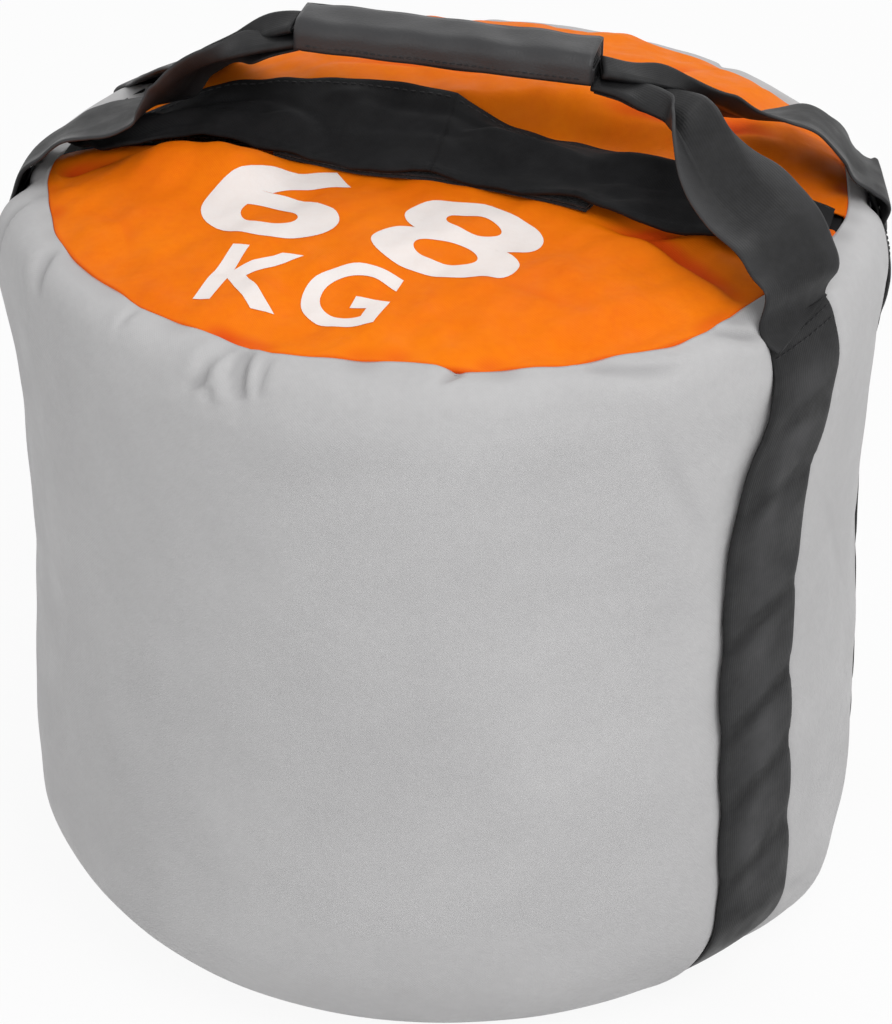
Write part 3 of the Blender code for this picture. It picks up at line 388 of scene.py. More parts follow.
class Tree:
    """Adds and joins the nodes of one node tree."""

    def __init__(self, tree: bpy.types.NodeTree) -> None:
        """Start on an emptied tree."""
        self.tree = tree
        tree.nodes.clear()

    def add(self, kind: str, inputs: dict | None = None, **settings: object) -> bpy.types.Node:
        """Add a node.

        Args:
            kind: The node's type name without its ShaderNode prefix.
            inputs: Values or output sockets for its inputs, by name or number.
            **settings: Attributes to set on the node before its inputs.

        Returns:
            The node.
        """
        node = self.tree.nodes.new("ShaderNode" + kind if not kind.startswith("Node") else kind)
        for name, value in settings.items():
            setattr(node, name, value)
        for name, value in (inputs or {}).items():
            socket = node.inputs[name]
            if isinstance(value, Socket):
                self.link(value, socket)
            else:
                socket.default_value = value
        return node

    def link(self, source: Socket, goal: Socket) -> None:
        """Join an output to an input."""
        self.tree.links.new(source, goal)

    def math(self, operation: str, *values: object) -> Socket:
        """Join a Math node to values or sockets and give its result."""
        return self.add("Math", dict(enumerate(values)), operation=operation).outputs[0]

    def mix(self, share: object, first: object, second: object) -> Socket:
        """Mix two colours by a share."""
        node = self.add("Mix", {"Factor": share, 6: first, 7: second}, data_type="RGBA")
        return node.outputs[2]

    def remap(self, value: Socket, *bounds: float) -> Socket:
        """Map a value from one range to another, held inside it."""
        ends = dict(zip(("From Min", "From Max", "To Min", "To Max"), bounds))
        return self.add("MapRange", {"Value": value, **ends}, clamp=True).outputs[0]

    def seen(self) -> Socket:
        """1 where the camera or a glossy surface looks, 0 elsewhere."""
        rays = self.add("LightPath").outputs
        return self.math("MAXIMUM", rays["Is Camera Ray"], rays["Is Glossy Ray"])


class SharedEffects:
    """Shader groups that several finishes place with their own values."""

    def __init__(self) -> None:
        """Build each group once."""
        self.weave = self._weave()
        self.mottle = self._mottle()
        self.ribs = self._ribs()

    @staticmethod
    def _group(name: str, inputs: dict[str, float], outputs: tuple[str, ...]) -> tuple:
        """Start a node group with a vector and number inputs and number outputs.

        Args:
            name: The group's name.
            inputs: Number inputs with their usual values.
            outputs: Names of its number outputs.

        Returns:
            The group, its nodes, and the sockets inside it that give and take values.
        """
        group = bpy.data.node_groups.new(name, "ShaderNodeTree")
        group.interface.new_socket("Vector", in_out="INPUT", socket_type="NodeSocketVector")
        for label, value in inputs.items():
            socket = group.interface.new_socket(label, in_out="INPUT",
                                                socket_type="NodeSocketFloat")
            socket.default_value = value
        for label in outputs:
            group.interface.new_socket(label, in_out="OUTPUT", socket_type="NodeSocketFloat")
        tree = Tree(group)
        return group, tree, tree.add("NodeGroupInput").outputs, tree.add("NodeGroupOutput").inputs

    def _weave(self) -> bpy.types.NodeTree:
        """Plain weave: threads that pass over and under at a given pitch.

        Returns:
            The group.
        """
        group, tree, given, result = self._group("plain_weave", {"Pitch": 0.0006},
                                                 ("Height", "Gap"))
        parts = tree.add("SeparateXYZ", {0: given["Vector"]}).outputs
        waves = []
        for axis in (0, 1):
            turns = tree.math("DIVIDE", parts[axis], given["Pitch"])
            waves.append(tree.math("SINE", tree.math("MULTIPLY", turns, math.pi)))
        product = tree.math("MULTIPLY", *waves)
        tree.link(tree.remap(product, -1.0, 1.0, 0.0, 1.0), result["Height"])
        gap = tree.math("MULTIPLY", *(tree.math("ABSOLUTE", wave) for wave in waves))
        tree.link(tree.remap(gap, 0.0, 0.35, 1.0, 0.0), result["Gap"])
        return group

    def _mottle(self) -> bpy.types.NodeTree:
        """Uneven tone at two scales, as handled fabric has.

        Returns:
            The group.
        """
        group, tree, given, result = self._group(
            "handled_mottle", {"Scale": 20.0, "Fine": 160.0}, ("Broad", "Small"))
        for label, source, detail in (("Broad", "Scale", 4.0), ("Small", "Fine", 3.0)):
            noise = tree.add("TexNoise", {"Vector": given["Vector"], "Scale": given[source],
                                          "Detail": detail, "Roughness": 0.55})
            tree.link(tree.remap(noise.outputs[0], 0.3, 0.7, 0.0, 1.0), result[label])
        return group

    def _ribs(self) -> bpy.types.NodeTree:
        """Webbing: ribs along the band, crossed by slanting yarns.

        Returns:
            The group.
        """
        group, tree, given, result = self._group("webbing_ribs", {"Pitch": 0.0016}, ("Height",))
        parts = tree.add("SeparateXYZ", {0: given["Vector"]}).outputs
        along = tree.math("DIVIDE", parts[0], given["Pitch"])
        across = tree.math("DIVIDE", parts[1], given["Pitch"])
        rib = tree.math("SINE", tree.math("MULTIPLY", across, 2 * math.pi))
        slant = tree.math("SINE", tree.math("MULTIPLY", tree.math("ADD", along, across),
                                            2 * math.pi))
        both = tree.math("ADD", rib, tree.math("MULTIPLY", slant, 0.5))
        tree.link(tree.remap(both, -1.5, 1.5, 0.0, 1.0), result["Height"])
        return group


@dataclass(frozen=True)
class Finish:
    """What every finish has: a name, a slot of the record and a plain Principled base."""

    name: str
    slot: Slot
    colour: tuple[float, float, float]
    shade: tuple[float, float, float]
    roughness: float = 0.75
    roughness_change: float = 0.12
    specular: float = 0.3
    sheen: float = 0.0
    sheen_tint: tuple[float, float, float] = (1.0, 1.0, 1.0)
    mottle_scale: float = 18.0
    mottle_share: float = 0.5
    fine_scale: float = 260.0
    weave_pitch: float = 0.0008
    weave_height: float = 0.0001
    crumple_height: float = 0.0
    crumple_scale: float = 60.0
    # How far the fold values pull the colour toward the shade colour: painted shade in folds, or
    # painted sheen where the shade colour is paler
    painted_fold_share: float = 0.8

    def mottled(self, tree: Tree, effects: SharedEffects,
                place: Socket) -> bpy.types.bpy_prop_collection:
        """Outputs of the mottle group, read at this finish's two scales."""
        return tree.add("Group", {"Vector": place, "Scale": self.mottle_scale,
                                  "Fine": self.fine_scale}, node_tree=effects.mottle).outputs

    def colours(self, tree: Tree, effects: SharedEffects, place: Socket,
                weave: Socket) -> Socket:
        """The base colour: mottled, and pulled toward the shade colour in folds and in the gaps of
        the weave, which is painted shade, or painted sheen where the shade colour is paler.

        Args:
            tree: The finish's nodes.
            effects: The shared shader groups.
            place: Place on the object.
            weave: Where the pattern's gaps lie.

        Returns:
            The colour.
        """
        mottle = self.mottled(tree, effects, place)
        broad = tree.math("MULTIPLY", mottle["Broad"], self.mottle_share)
        small = tree.math("MULTIPLY", mottle["Small"], self.mottle_share * 0.45)
        # Painted shade in folds and in the weave's gaps, or painted sheen where the shade colour
        # is paler, as on the black flap
        fold = tree.add("Attribute", attribute_name=SHADE_AND_SHEEN).outputs["Fac"]
        dark = tree.math("MULTIPLY", fold, self.painted_fold_share)
        total = tree.math("MAXIMUM", tree.math("ADD", broad, small), dark)
        total = tree.math("ADD", total, tree.math("MULTIPLY", weave, 0.08))
        return tree.mix(tree.math("MINIMUM", total, 1.0), (*self.colour, 1.0), (*self.shade, 1.0))

    def pattern(self, tree: Tree, effects: SharedEffects,
                cloth: Socket) -> tuple[Socket, Socket]:
        """Height of the surface's own pattern, and where its gaps lie."""
        weave = tree.add("Group", {"Vector": cloth, "Pitch": self.weave_pitch},
                         node_tree=effects.weave).outputs
        return weave["Height"], weave["Gap"]

    def build(self, effects: SharedEffects) -> bpy.types.Material:
        """Make the material.

        Args:
            effects: The shared shader groups.

        Returns:
            The material, ready for a piece.
        """
        finish = bpy.data.materials.new(self.name)
        finish.use_nodes = True
        finish.diffuse_color = (*self.colour, 1.0)
        tree = Tree(finish.node_tree)
        place = tree.add("TexCoord").outputs["Object"]
        cloth = tree.add("UVMap", uv_map=CLOTH_UV).outputs[0]
        height, gap = self.pattern(tree, effects, cloth)
        colour = self.colours(tree, effects, place, gap)
        crumple = tree.add("TexNoise", {"Vector": place, "Scale": self.crumple_scale,
                                        "Detail": 3.0}).outputs[0]
        change = tree.remap(crumple, 0.3, 0.7, self.roughness - self.roughness_change,
                            self.roughness + self.roughness_change)
        relief = tree.math("ADD", tree.math("MULTIPLY", height, self.weave_height),
                           tree.math("MULTIPLY", crumple, self.crumple_height))
        bump = tree.add("Bump", {"Height": relief, "Distance": 1.0, "Strength": 1.0})
        shader = tree.add("BsdfPrincipled", {
            "Base Color": colour, "Roughness": change, "Normal": bump.outputs[0],
            "Specular IOR Level": self.specular, "Sheen Weight": self.sheen,
            "Sheen Roughness": 0.45, "Sheen Tint": (*self.sheen_tint, 1.0)})
        tree.add("OutputMaterial", {"Surface": shader.outputs[0]})
        return finish


@dataclass(frozen=True)
class WebbingFinish(Finish):
    """Ribbed webbing with painted sheen: paler blotches where it bulges."""

    painted_sheen_colour: tuple[float, float, float] = (0.085, 0.085, 0.088)

    def colours(self, tree: Tree, effects: SharedEffects, place: Socket,
                weave: Socket) -> Socket:
        """Dark webbing with painted sheen in paler blotches, which the vertex values place.

        Args:
            tree: The finish's nodes.
            effects: The shared shader groups.
            place: Place on the object.
            weave: Where the pattern's gaps lie.

        Returns:
            The colour.
        """
        mottle = self.mottled(tree, effects, place)
        tone = tree.mix(tree.math("MULTIPLY", mottle["Small"], self.mottle_share),
                        (*self.colour, 1.0), (*self.shade, 1.0))
        # Painted sheen: the vertex values mix the colour toward a paler grey in blotches
        painted_sheen = tree.add("Attribute", attribute_name=SHADE_AND_SHEEN).outputs["Fac"]
        blotch = tree.math("MULTIPLY", painted_sheen, tree.remap(mottle["Broad"], 0.0, 1.0, 0.35, 1.0))
        return tree.mix(blotch, tone, (*self.painted_sheen_colour, 1.0))

    def pattern(self, tree: Tree, effects: SharedEffects,
                cloth: Socket) -> tuple[Socket, Socket]:
        """Ribs instead of a plain weave."""
        height = tree.add("Group", {"Vector": cloth, "Pitch": self.weave_pitch},
                          node_tree=effects.ribs).outputs["Height"]
        return height, height


@dataclass(frozen=True)
class GrainFinish(Finish):
    """A surface without threads: moulded plastic, smooth sheet, sand or print."""

    def pattern(self, tree: Tree, effects: SharedEffects,
                cloth: Socket) -> tuple[Socket, Socket]:
        """Fine grain read from the place in space."""
        grain = tree.add("TexVoronoi", {"Vector": tree.add("TexCoord").outputs["Object"],
                                        "Scale": 1.0 / self.weave_pitch}).outputs["Distance"]
        return grain, grain


class Wardrobe:
    """Every finish of the object, built when a piece first wears it."""

    FINISHES = (
        Finish("grey_oxford", Slot.GREY, (0.57, 0.565, 0.568), (0.4, 0.395, 0.4),
               roughness=0.66, sheen=0.06, mottle_scale=9.0, mottle_share=0.3,
               weave_pitch=0.0007, weave_height=0.00006, crumple_height=0.0011,
               crumple_scale=38.0, painted_fold_share=0.9),
        Finish("orange_oxford", Slot.ORANGE, (1.0, 0.235, 0.0), (0.8, 0.07, 0.004),
               roughness=0.66, specular=0.12, mottle_scale=14.0, mottle_share=0.3,
               weave_pitch=0.0007, weave_height=0.00006, crumple_height=0.0006,
               crumple_scale=70.0, painted_fold_share=1.0),
        # Its shade colour is paler than its colour, so the fold values paint sheen on the flap's
        # folds
        Finish("black_oxford", Slot.BLACK, (0.007, 0.007, 0.0075), (0.014, 0.014, 0.015),
               roughness=0.8, specular=0.15, mottle_share=0.8,
               weave_pitch=0.0008, weave_height=0.0001, crumple_height=0.0008,
               crumple_scale=55.0, painted_fold_share=0.2),
        WebbingFinish("black_webbing_ribbed", Slot.WEBBING, (0.009, 0.009, 0.0095),
                      (0.016, 0.016, 0.017), roughness=0.52, roughness_change=0.1,
                      specular=0.24, mottle_scale=26.0, mottle_share=0.8, weave_pitch=0.0013,
                      weave_height=0.00007, crumple_height=0.0004),
        GrainFinish("grip_sheet_smooth", Slot.GRIP, (0.024, 0.024, 0.0255), (0.036, 0.036, 0.038),
                    roughness=0.46, roughness_change=0.06, specular=0.4, mottle_share=0.5,
                    weave_pitch=0.0011, weave_height=0.00008, painted_fold_share=0.5),
        GrainFinish("hook_and_loop_pile", Slot.HOOK, (0.014, 0.014, 0.015),
                    (0.028, 0.028, 0.03), roughness=0.9, roughness_change=0.05, specular=0.1,
                    sheen=0.2, mottle_share=0.9, weave_pitch=0.0013, weave_height=0.0005),
        GrainFinish("zip_moulding", Slot.ZIP, (0.02, 0.02, 0.02), (0.032, 0.032, 0.032),
                    roughness=0.38, roughness_change=0.06, specular=0.45, mottle_share=0.4,
                    weave_pitch=0.0009, weave_height=0.00004),
        GrainFinish("liner_sheeting", Slot.LINER, (0.22, 0.22, 0.21), (0.15, 0.15, 0.145),
                    roughness=0.45, mottle_share=0.6, weave_pitch=0.002, weave_height=0.0001,
                    crumple_height=0.001),
        GrainFinish("dry_sand", Slot.SAND, (0.5, 0.38, 0.23), (0.3, 0.21, 0.12),
                    roughness=0.95, roughness_change=0.03, specular=0.15, mottle_scale=60.0,
                    mottle_share=0.8, fine_scale=900.0, weave_pitch=0.0009,
                    weave_height=0.0005),
        # The print's white is tinted pink, painted bounce light from the orange top
        GrainFinish("white_print", Slot.ORANGE, (0.95, 0.9, 0.88), (0.9, 0.78, 0.72),
                    roughness=0.5, roughness_change=0.08, mottle_share=0.35,
                    weave_pitch=0.0012, weave_height=0.00005, crumple_height=0.0006,
                    crumple_scale=70.0),
        GrainFinish("black_thread", Slot.BLACK, (0.016, 0.016, 0.017), (0.03, 0.03, 0.032),
                    roughness=0.6, mottle_share=0.4, weave_pitch=0.0005,
                    weave_height=0.0001),
    )

    def __init__(self) -> None:
        """Build the shared effects and keep the finishes by name."""
        self.effects = SharedEffects()
        self.plans = {plan.name: plan for plan in self.FINISHES}
        self.made: dict[str, bpy.types.Material] = {}

    def dress(self, piece: Piece, finish: str) -> None:
        """Give a piece its finish.

        Args:
            piece: The piece to dress.
            finish: The finish's name.
        """
        plan = self.plans[finish]
        if finish not in self.made:
            self.made[finish] = plan.build(self.effects)
        piece.data.materials.clear()
        piece.data.materials.append(self.made[finish])


@dataclass
class Builder:
    """What each sub-assembly uses to finish its pieces and tell of them."""

    wardrobe: Wardrobe = field(default_factory=Wardrobe)

    def place(self, piece: Piece, finish: str, body: str, *nodes: str) -> None:
        """Dress a piece, put it on its body and hide the CAD nodes that it replaces.

        Args:
            piece: The finished piece.
            finish: Name of its finish.
            body: The CAD body that it moves with.
            *nodes: The CAD nodes that it replaces.
        """
        self.wardrobe.dress(piece, finish)
        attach(piece, body)
        if nodes:
            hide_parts(*nodes)
        LOG.info("%s rides on %s and has %d faces", piece.name, body, len(piece.data.polygons))

    def bridge(self, piece: Piece, finish: str, bodies: tuple[str, str],
               reach: tuple[tuple, tuple], *nodes: str) -> None:
        """Dress a piece that spans two bodies, leave it in the part's axes on no body, and hide
        the CAD nodes that it replaces.

        Args:
            piece: The finished piece.
            finish: Name of its finish.
            bodies: The body that it starts on and the one that it ends on.
            reach: Where it leaves the first body and where it joins the second. Not used.
            *nodes: The CAD nodes that it replaces.
        """
        self.wardrobe.dress(piece, finish)
        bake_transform(piece)
        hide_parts(*nodes)
        LOG.info("%s bends between %s and %s", piece.name, *bodies)


# ---- the bag's form


@dataclass(frozen=True)
class Loop:
    """Where one webbing loop crosses the bag, and how far it drifts near its stitch line."""

    right_y: float
    left_y: float
    right_drift_degrees: float = 0.0
    left_drift_degrees: float = 0.0
    right_seam: float = 0.3612
    left_seam: float = 0.3612

    def seam(self, right: bool) -> float:
        """Height of the stitch line on one side."""
        return self.right_seam if right else self.left_seam

    def drift(self, right: bool) -> float:
        """How far the loop turns about the axis by its stitch line, in radians."""
        return math.radians(self.right_drift_degrees if right else self.left_drift_degrees)


FRONT_LOOP = Loop(-0.113, -0.004, 6.0, 6.0, left_seam=0.353)
REAR_LOOP = Loop(0.083, 0.088, -9.0, -7.0, right_seam=0.3515, left_seam=0.3455)


@dataclass
class BagForm:
    """The bag's cut: a round wall with a soft shoulder, a flat base and a domed top."""

    radius: float = field(default_factory=lambda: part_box("side_wall")[1].x)
    height: float = field(default_factory=lambda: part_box("side_wall")[1].z)
    corner: float = 0.062
    corner_end_degrees: float = 70.0
    profile_shares: tuple[tuple[float, float], ...] = (
        (0.905, 1.0), (0.948, 0.9935), (0.978, 0.977), (0.994, 0.95), (1.0, 0.915),
        (0.992, 0.85), (0.976, 0.71), (0.967, 0.54), (0.975, 0.38), (0.981, 0.26))
    front_crown: float = 0.012
    zip_crown: float = 0.015
    rear_crown: float = 0.036
    front_reach: float = 0.035
    rear_rise: tuple[float, float] = (0.0135, 0.027)
    rear_rise_drift: tuple[float, float] = (0.15, 0.3)
    crown_power: float = 0.8
    # Where the rim dips, in degrees, how wide and how far
    rim_dip: tuple[float, float, float] = (161.0, 19.0, 0.0115)
    rim_waver: float = 0.0004
    rim_waver_length: float = 0.045
    # Fall of the rim's height per metre that it lies outside its circle
    outside_fall: float = 0.2
    stitch_height: float = 0.35
    seam_height: float = 0.3612
    drift_share: float = 0.72
    webbing_width: float = 0.05
    webbing_gap: float = 0.0007
    corner_sink: float = 0.0034
    corner_reach: tuple[float, float] = (0.012, 0.055)
    shoulder_sink: float = 0.004
    shoulder_reach: tuple[float, float] = (0.318, 0.352)
    # Angle about the axis in degrees, and how far the top seam lies from its circle there
    seam_shift: tuple[tuple[float, float], ...] = (
        (-180, 0.0), (-168, 0.0), (-162, -0.002), (-153, -0.002), (-147, 0.0),
        (-138, -0.001), (-130, -0.0035), (-122, -0.0005), (-116, -0.003), (-109, -0.0015),
        (-104, -0.0005), (-98, 0.0), (-92, -0.005), (-85, -0.006), (-78, -0.0035),
        (-74, 0.001), (-68, -0.0007), (-59, 0.0025), (-55, 0.0), (-49, 0.0025),
        (-44, 0.003), (-38, 0.001), (-30, -0.004), (-26, -0.005), (-10, -0.003), (5, 0.0),
        (24, 0.002), (60, -0.001), (100, 0.001), (130, -0.001), (141, -0.006),
        (150, -0.022), (163, -0.02), (172, -0.004), (180, 0.0))

    def __post_init__(self) -> None:
        """Work out the wall's dense line, its normals and lengths from the rim down."""
        side = [(self.radius * out, self.height * up) for out, up in self.profile_shares]
        belly = side[-1][0] - self.corner
        turn = np.radians(self.corner_end_degrees) * np.linspace(0, 1, 6)
        arc = np.stack([belly + self.corner * np.cos(turn),
                        self.corner * (1 - np.sin(turn))], axis=-1)
        line = through(np.vstack([side, arc]), 481)
        self.wall_rows = len(line)
        base = np.linspace(1, 0, 41)[1:, None] * [line[-1, 0], 0] + [0, line[-1, 1]]
        self.line = np.vstack([line, base])
        self.normal, self.run = left_of(self.line), run_along(self.line)
        self.seam_radius = self.line[0, 0]
        self.wall_run = self.run[self.wall_rows - 1]

    def on_wall(self, places: Array, out: Array | float) -> Array:
        """The nearest places on the bag's side, moved out along the fabric's normal.

        Args:
            places: Places near the side.
            out: How far to move them out.

        Returns:
            The moved places.
        """
        angle = np.arctan2(places[..., 1], places[..., 0])
        here = np.stack([np.hypot(places[..., 0], places[..., 1]), places[..., 2]], axis=-1)
        gaps = np.linalg.norm(here[..., None, :] - self.line, axis=-1)
        best = np.argmin(gaps, axis=-1)
        spot = self.line[best] + self.normal[best] * np.asarray(out)[..., None]
        return polar(spot[..., 0], angle, spot[..., 1])

    def at_height(self, height: Array) -> tuple[Array, Array]:
        """Radius and length from the rim of the wall at given heights."""
        up = slice(self.wall_rows - 1, None, -1)
        return tuple(np.interp(height, self.line[up, 1], values[up])
                     for values in (self.line[:, 0], self.run))

    def rim(self, angle: Array) -> tuple[Array, Array]:
        """Radius and height of the top seam at given angles.

        Args:
            angle: Angles about the axis, in radians.

        Returns:
            The radii and the heights.
        """
        degrees, shifts = np.array(self.seam_shift).T
        shift = np.mean([np.interp(np.degrees(angle) + aside, degrees, shifts, period=360)
                         for aside in (-3.0, -1.5, 0.0, 1.5, 3.0)], axis=0)
        around = polar(1.0, angle, 0.0) * self.radius
        radius = self.seam_radius + shift + self.rim_waver * Ripple(
            self.rim_waver_length, 5).at(around)
        x, y = radius * np.cos(angle), radius * np.sin(angle)
        dip_at, dip_width, dip = self.rim_dip
        aside = np.angle(np.exp(1j * (angle - math.radians(dip_at))))
        drop = dip * bell(aside, math.radians(dip_width))
        outside = self.height - np.maximum(radius - self.seam_radius, 0) * self.outside_fall
        return radius, np.where(radius < self.seam_radius, self.dome(x, y), outside) - drop

    def dome(self, x: Array, y: Array) -> Array:
        """Height of the domed top over places inside the seam.

        Args:
            x: Places along the zip.
            y: Places across the zip.

        Returns:
            The heights.
        """
        inside = np.clip(1 - (x * x + y * y) / self.seam_radius**2, 0, None)
        crown = self.zip_crown + (self.front_crown - self.zip_crown) * smooth(
            -y, 0, self.front_reach)
        start, end = (place + drift * np.clip(x, 0, None)
                      for place, drift in zip(self.rear_rise, self.rear_rise_drift))
        crown = crown + (self.rear_crown - self.zip_crown) * smooth(y, start, end)
        return self.height + crown * inside**self.crown_power

    def facing(self, places: Array) -> Array:
        """The fabric's outward direction at places on the bag's side."""
        return unit(self.on_wall(places, 0.001) - self.on_wall(places, 0.0))

    def straight(self, loop: Loop) -> tuple[float, float]:
        """Slope of a loop's line in plan, and its y where x is 0."""
        return ((loop.right_y - loop.left_y) / (2 * self.radius),
                (loop.right_y + loop.left_y) / 2)

    def crossing(self, loop: Loop, radius: Array, right: bool) -> Array:
        """Where a loop's straight line crosses circles about the axis, as (x, y).

        Args:
            loop: The webbing loop.
            radius: Radii of the circles.
            right: Whether it is the right side.

        Returns:
            The crossings.
        """
        slope, middle = self.straight(loop)
        a, b, c = 1 + slope**2, 2 * slope * middle, middle**2 - radius**2
        root = np.sqrt(np.maximum(b * b - 4 * a * c, 0))
        x = (-b + root) / (2 * a) if right else (-b - root) / (2 * a)
        return np.stack([x, middle + slope * x], axis=-1)

    def sink(self, height: Array) -> Array:
        """How deep the webbing sits in the fabric at the lower corner and the shoulder."""
        return (self.corner_sink * (1 - smooth(height, *self.corner_reach))
                + self.shoulder_sink * smooth(height, *self.shoulder_reach))

    def loop_angle(self, loop: Loop, height: Array, right: bool) -> Array:
        """Angle about the axis of a loop's middle line at given heights of the wall.

        Args:
            loop: The webbing loop.
            height: Heights on the wall.
            right: Whether it is the right side.

        Returns:
            The angles, in radians.
        """
        spot = self.crossing(loop, self.at_height(height)[0], right)
        rise = smooth(height, self.drift_share * self.height, self.stitch_height)
        return np.arctan2(spot[..., 1], spot[..., 0]) + loop.drift(right) * rise


@dataclass
class BagWall:
    """The grey wall: gathered under the top seam, creased, and pressed by the webbing."""

    form: BagForm
    columns: int = 560
    shoulder_rows: int = 60
    lower_rows: int = 80
    gather_depth: float = 0.0008
    gather_reach: float = 0.012
    gather_length: float = 0.024
    shoulder_run: float = 0.075
    rim_reach: float = 0.022
    # How far the turned-in hem lies inside and below the rim
    hem: tuple[float, float] = (0.0004, 0.0022)
    wave_height: float = 0.0009
    wave_lengths: tuple[float, float] = (0.15, 0.05)
    small_wave_share: float = 0.35
    press_depth: float = 0.0014
    # Where the pressed band ends, from inside the webbing's edge to outside it
    press_edge: tuple[float, float] = (0.006, 0.004)
    # Place, width and share of the swelling beside the webbing
    beside: tuple[float, float, float] = (0.009, 0.007, 0.45)
    # Depth of crease at which the painted shade in it is full
    full_fold: float = 0.002
    thickness: float = 0.0015
    # Creases as paths of (degrees, height), then depth, sharp width and soft width
    creases: tuple = (
        (((-103.4, 0.3659), (-102.6, 0.36), (-101.6, 0.35)), 0.006, 0.0022, 0.006),
        (((-105.2, 0.3659), (-107.0, 0.361), (-107.6, 0.354), (-109.8, 0.347)),
         0.0035, 0.0018, 0.005),
        (((-106.4, 0.354), (-105.6, 0.346)), 0.002, 0.0015, 0.004),
        (((-100.0, 0.3659), (-99.6, 0.36), (-99.3, 0.351)), 0.0022, 0.0015, 0.004),
        (((-122.8, 0.3659), (-122.6, 0.364), (-122.3, 0.359)), 0.0014, 0.0012, 0.003),
        (((-74.0, 0.3659), (-75.5, 0.3652), (-77.6, 0.363)), 0.0022, 0.0014, 0.004),
        (((-60.0, 0.3659), (-52.0, 0.3635), (-45.0, 0.36)), 0.0022, 0.003, 0.007),
        (((-38.5, 0.3659), (-35.5, 0.364), (-32.0, 0.36)), 0.0026, 0.002, 0.005),
        (((-161.0, 0.3645), (-158.8, 0.356), (-157.0, 0.343)), 0.0034, 0.0022, 0.007),
        (((-145.5, 0.3655), (-143.0, 0.362), (-140.0, 0.35)), 0.0026, 0.0022, 0.006),
        (((-168.6, 0.3645), (-167.2, 0.359), (-165.5, 0.345)), 0.0034, 0.0022, 0.007),
        (((-176.0, 0.3645), (-175.0, 0.358), (-173.0, 0.343)), 0.0026, 0.0022, 0.006),
        (((-52.4, 0.352), (-46.0, 0.304), (-39.0, 0.256)), 0.001, 0.005, 0.011),
        (((-22.0, 0.278), (-11.0, 0.224), (-1.0, 0.168)), 0.0012, 0.005, 0.011),
        (((-24.0, 0.058), (-21.0, 0.05), (-17.0, 0.046)), 0.0018, 0.004, 0.008),
        (((12.0, 0.364), (15.0, 0.352), (16.0, 0.33)), 0.0024, 0.002, 0.007),
        (((58.0, 0.3655), (60.0, 0.355), (61.0, 0.335)), 0.0024, 0.002, 0.007),
        (((101.0, 0.3655), (99.0, 0.352), (98.0, 0.33)), 0.0026, 0.002, 0.007),
        (((133.0, 0.3655), (135.0, 0.357), (139.0, 0.34)), 0.002, 0.002, 0.006),
    )
    # Billows of the fabric: angle in degrees, height, radius and lift
    billows: tuple = ((-14.0, 0.035, 0.03, 0.006), (-8.0, 0.075, 0.02, -0.0025),
                      (-96.0, 0.34, 0.016, 0.0012), (-158.0, 0.338, 0.03, 0.0045))

    def build(self, builder: Builder) -> None:
        """Make the wall and dress it.

        Args:
            builder: Dresses and places pieces.
        """
        form = self.form
        run = np.concatenate([np.linspace(form.wall_run, self.shoulder_run, self.lower_rows),
                              np.linspace(self.shoulder_run, 0, self.shoulder_rows + 1)[1:]])
        angle = np.linspace(-np.pi, np.pi, self.columns, endpoint=False)
        out, up, out_normal, up_normal = (np.interp(run, form.run, values)[:, None] for values in (
            form.line[:, 0], form.line[:, 1], form.normal[:, 0], form.normal[:, 1]))
        turn = np.broadcast_to(angle, (len(run), self.columns))
        push, fold = self.relief(turn, np.broadcast_to(run[:, None], turn.shape),
                                 np.broadcast_to(up, turn.shape))
        rim_radius, rim_height = form.rim(angle)
        near_rim = (1 - smooth(run, 0, self.rim_reach))[:, None] ** 1.5
        radius = out + out_normal * push + near_rim * (rim_radius - form.seam_radius)
        height = up + up_normal * push + near_rim * (rim_height - form.height)
        grid = polar(radius, turn, height)
        inside, below = self.hem
        hem = polar(rim_radius - inside, angle, rim_height - below)
        grid = np.concatenate([grid, hem[None]], axis=0)
        # The turned-in hem gets full painted shade
        fold = np.concatenate([fold, np.ones((1, self.columns))], axis=0)
        wall = grid_mesh("grey_wall", grid, closed=True)
        paint_shade_and_sheen(wall, fold)
        thicken(wall, self.thickness)
        builder.place(wall, "grey_oxford", "root", "side_wall")

    def relief(self, turn: Array, run: Array, height: Array) -> tuple[Array, Array]:
        """How far the fabric stands from the bag's form, and how deep its folds are.

        Args:
            turn: Angles about the axis.
            run: Lengths from the rim down.
            height: Heights.

        Returns:
            The distance out and the folds, 0 to 1.
        """
        form = self.form
        around = polar(form.radius, turn, height)
        gather = 0.5 - 0.5 * Ripple(self.gather_length, 11, 10).at(around * [1, 1, 0.12])
        gathers = -self.gather_depth * gather * bell(run, self.gather_reach)
        long, short = self.wave_lengths
        waves = self.wave_height * Ripple(long, 3).at(around)
        waves += self.small_wave_share * self.wave_height * Ripple(short, 4).at(around)
        waves *= smooth(run, 0.0, 0.05) * smooth(height, 0.0, 0.06)
        flat = np.stack([turn * form.radius, run], axis=-1)

        def spot(degrees: float, level: float) -> tuple[float, float]:
            """A place on the laid-out wall, from its angle and height."""
            return math.radians(degrees) * form.radius, float(form.at_height(np.array(level))[1])

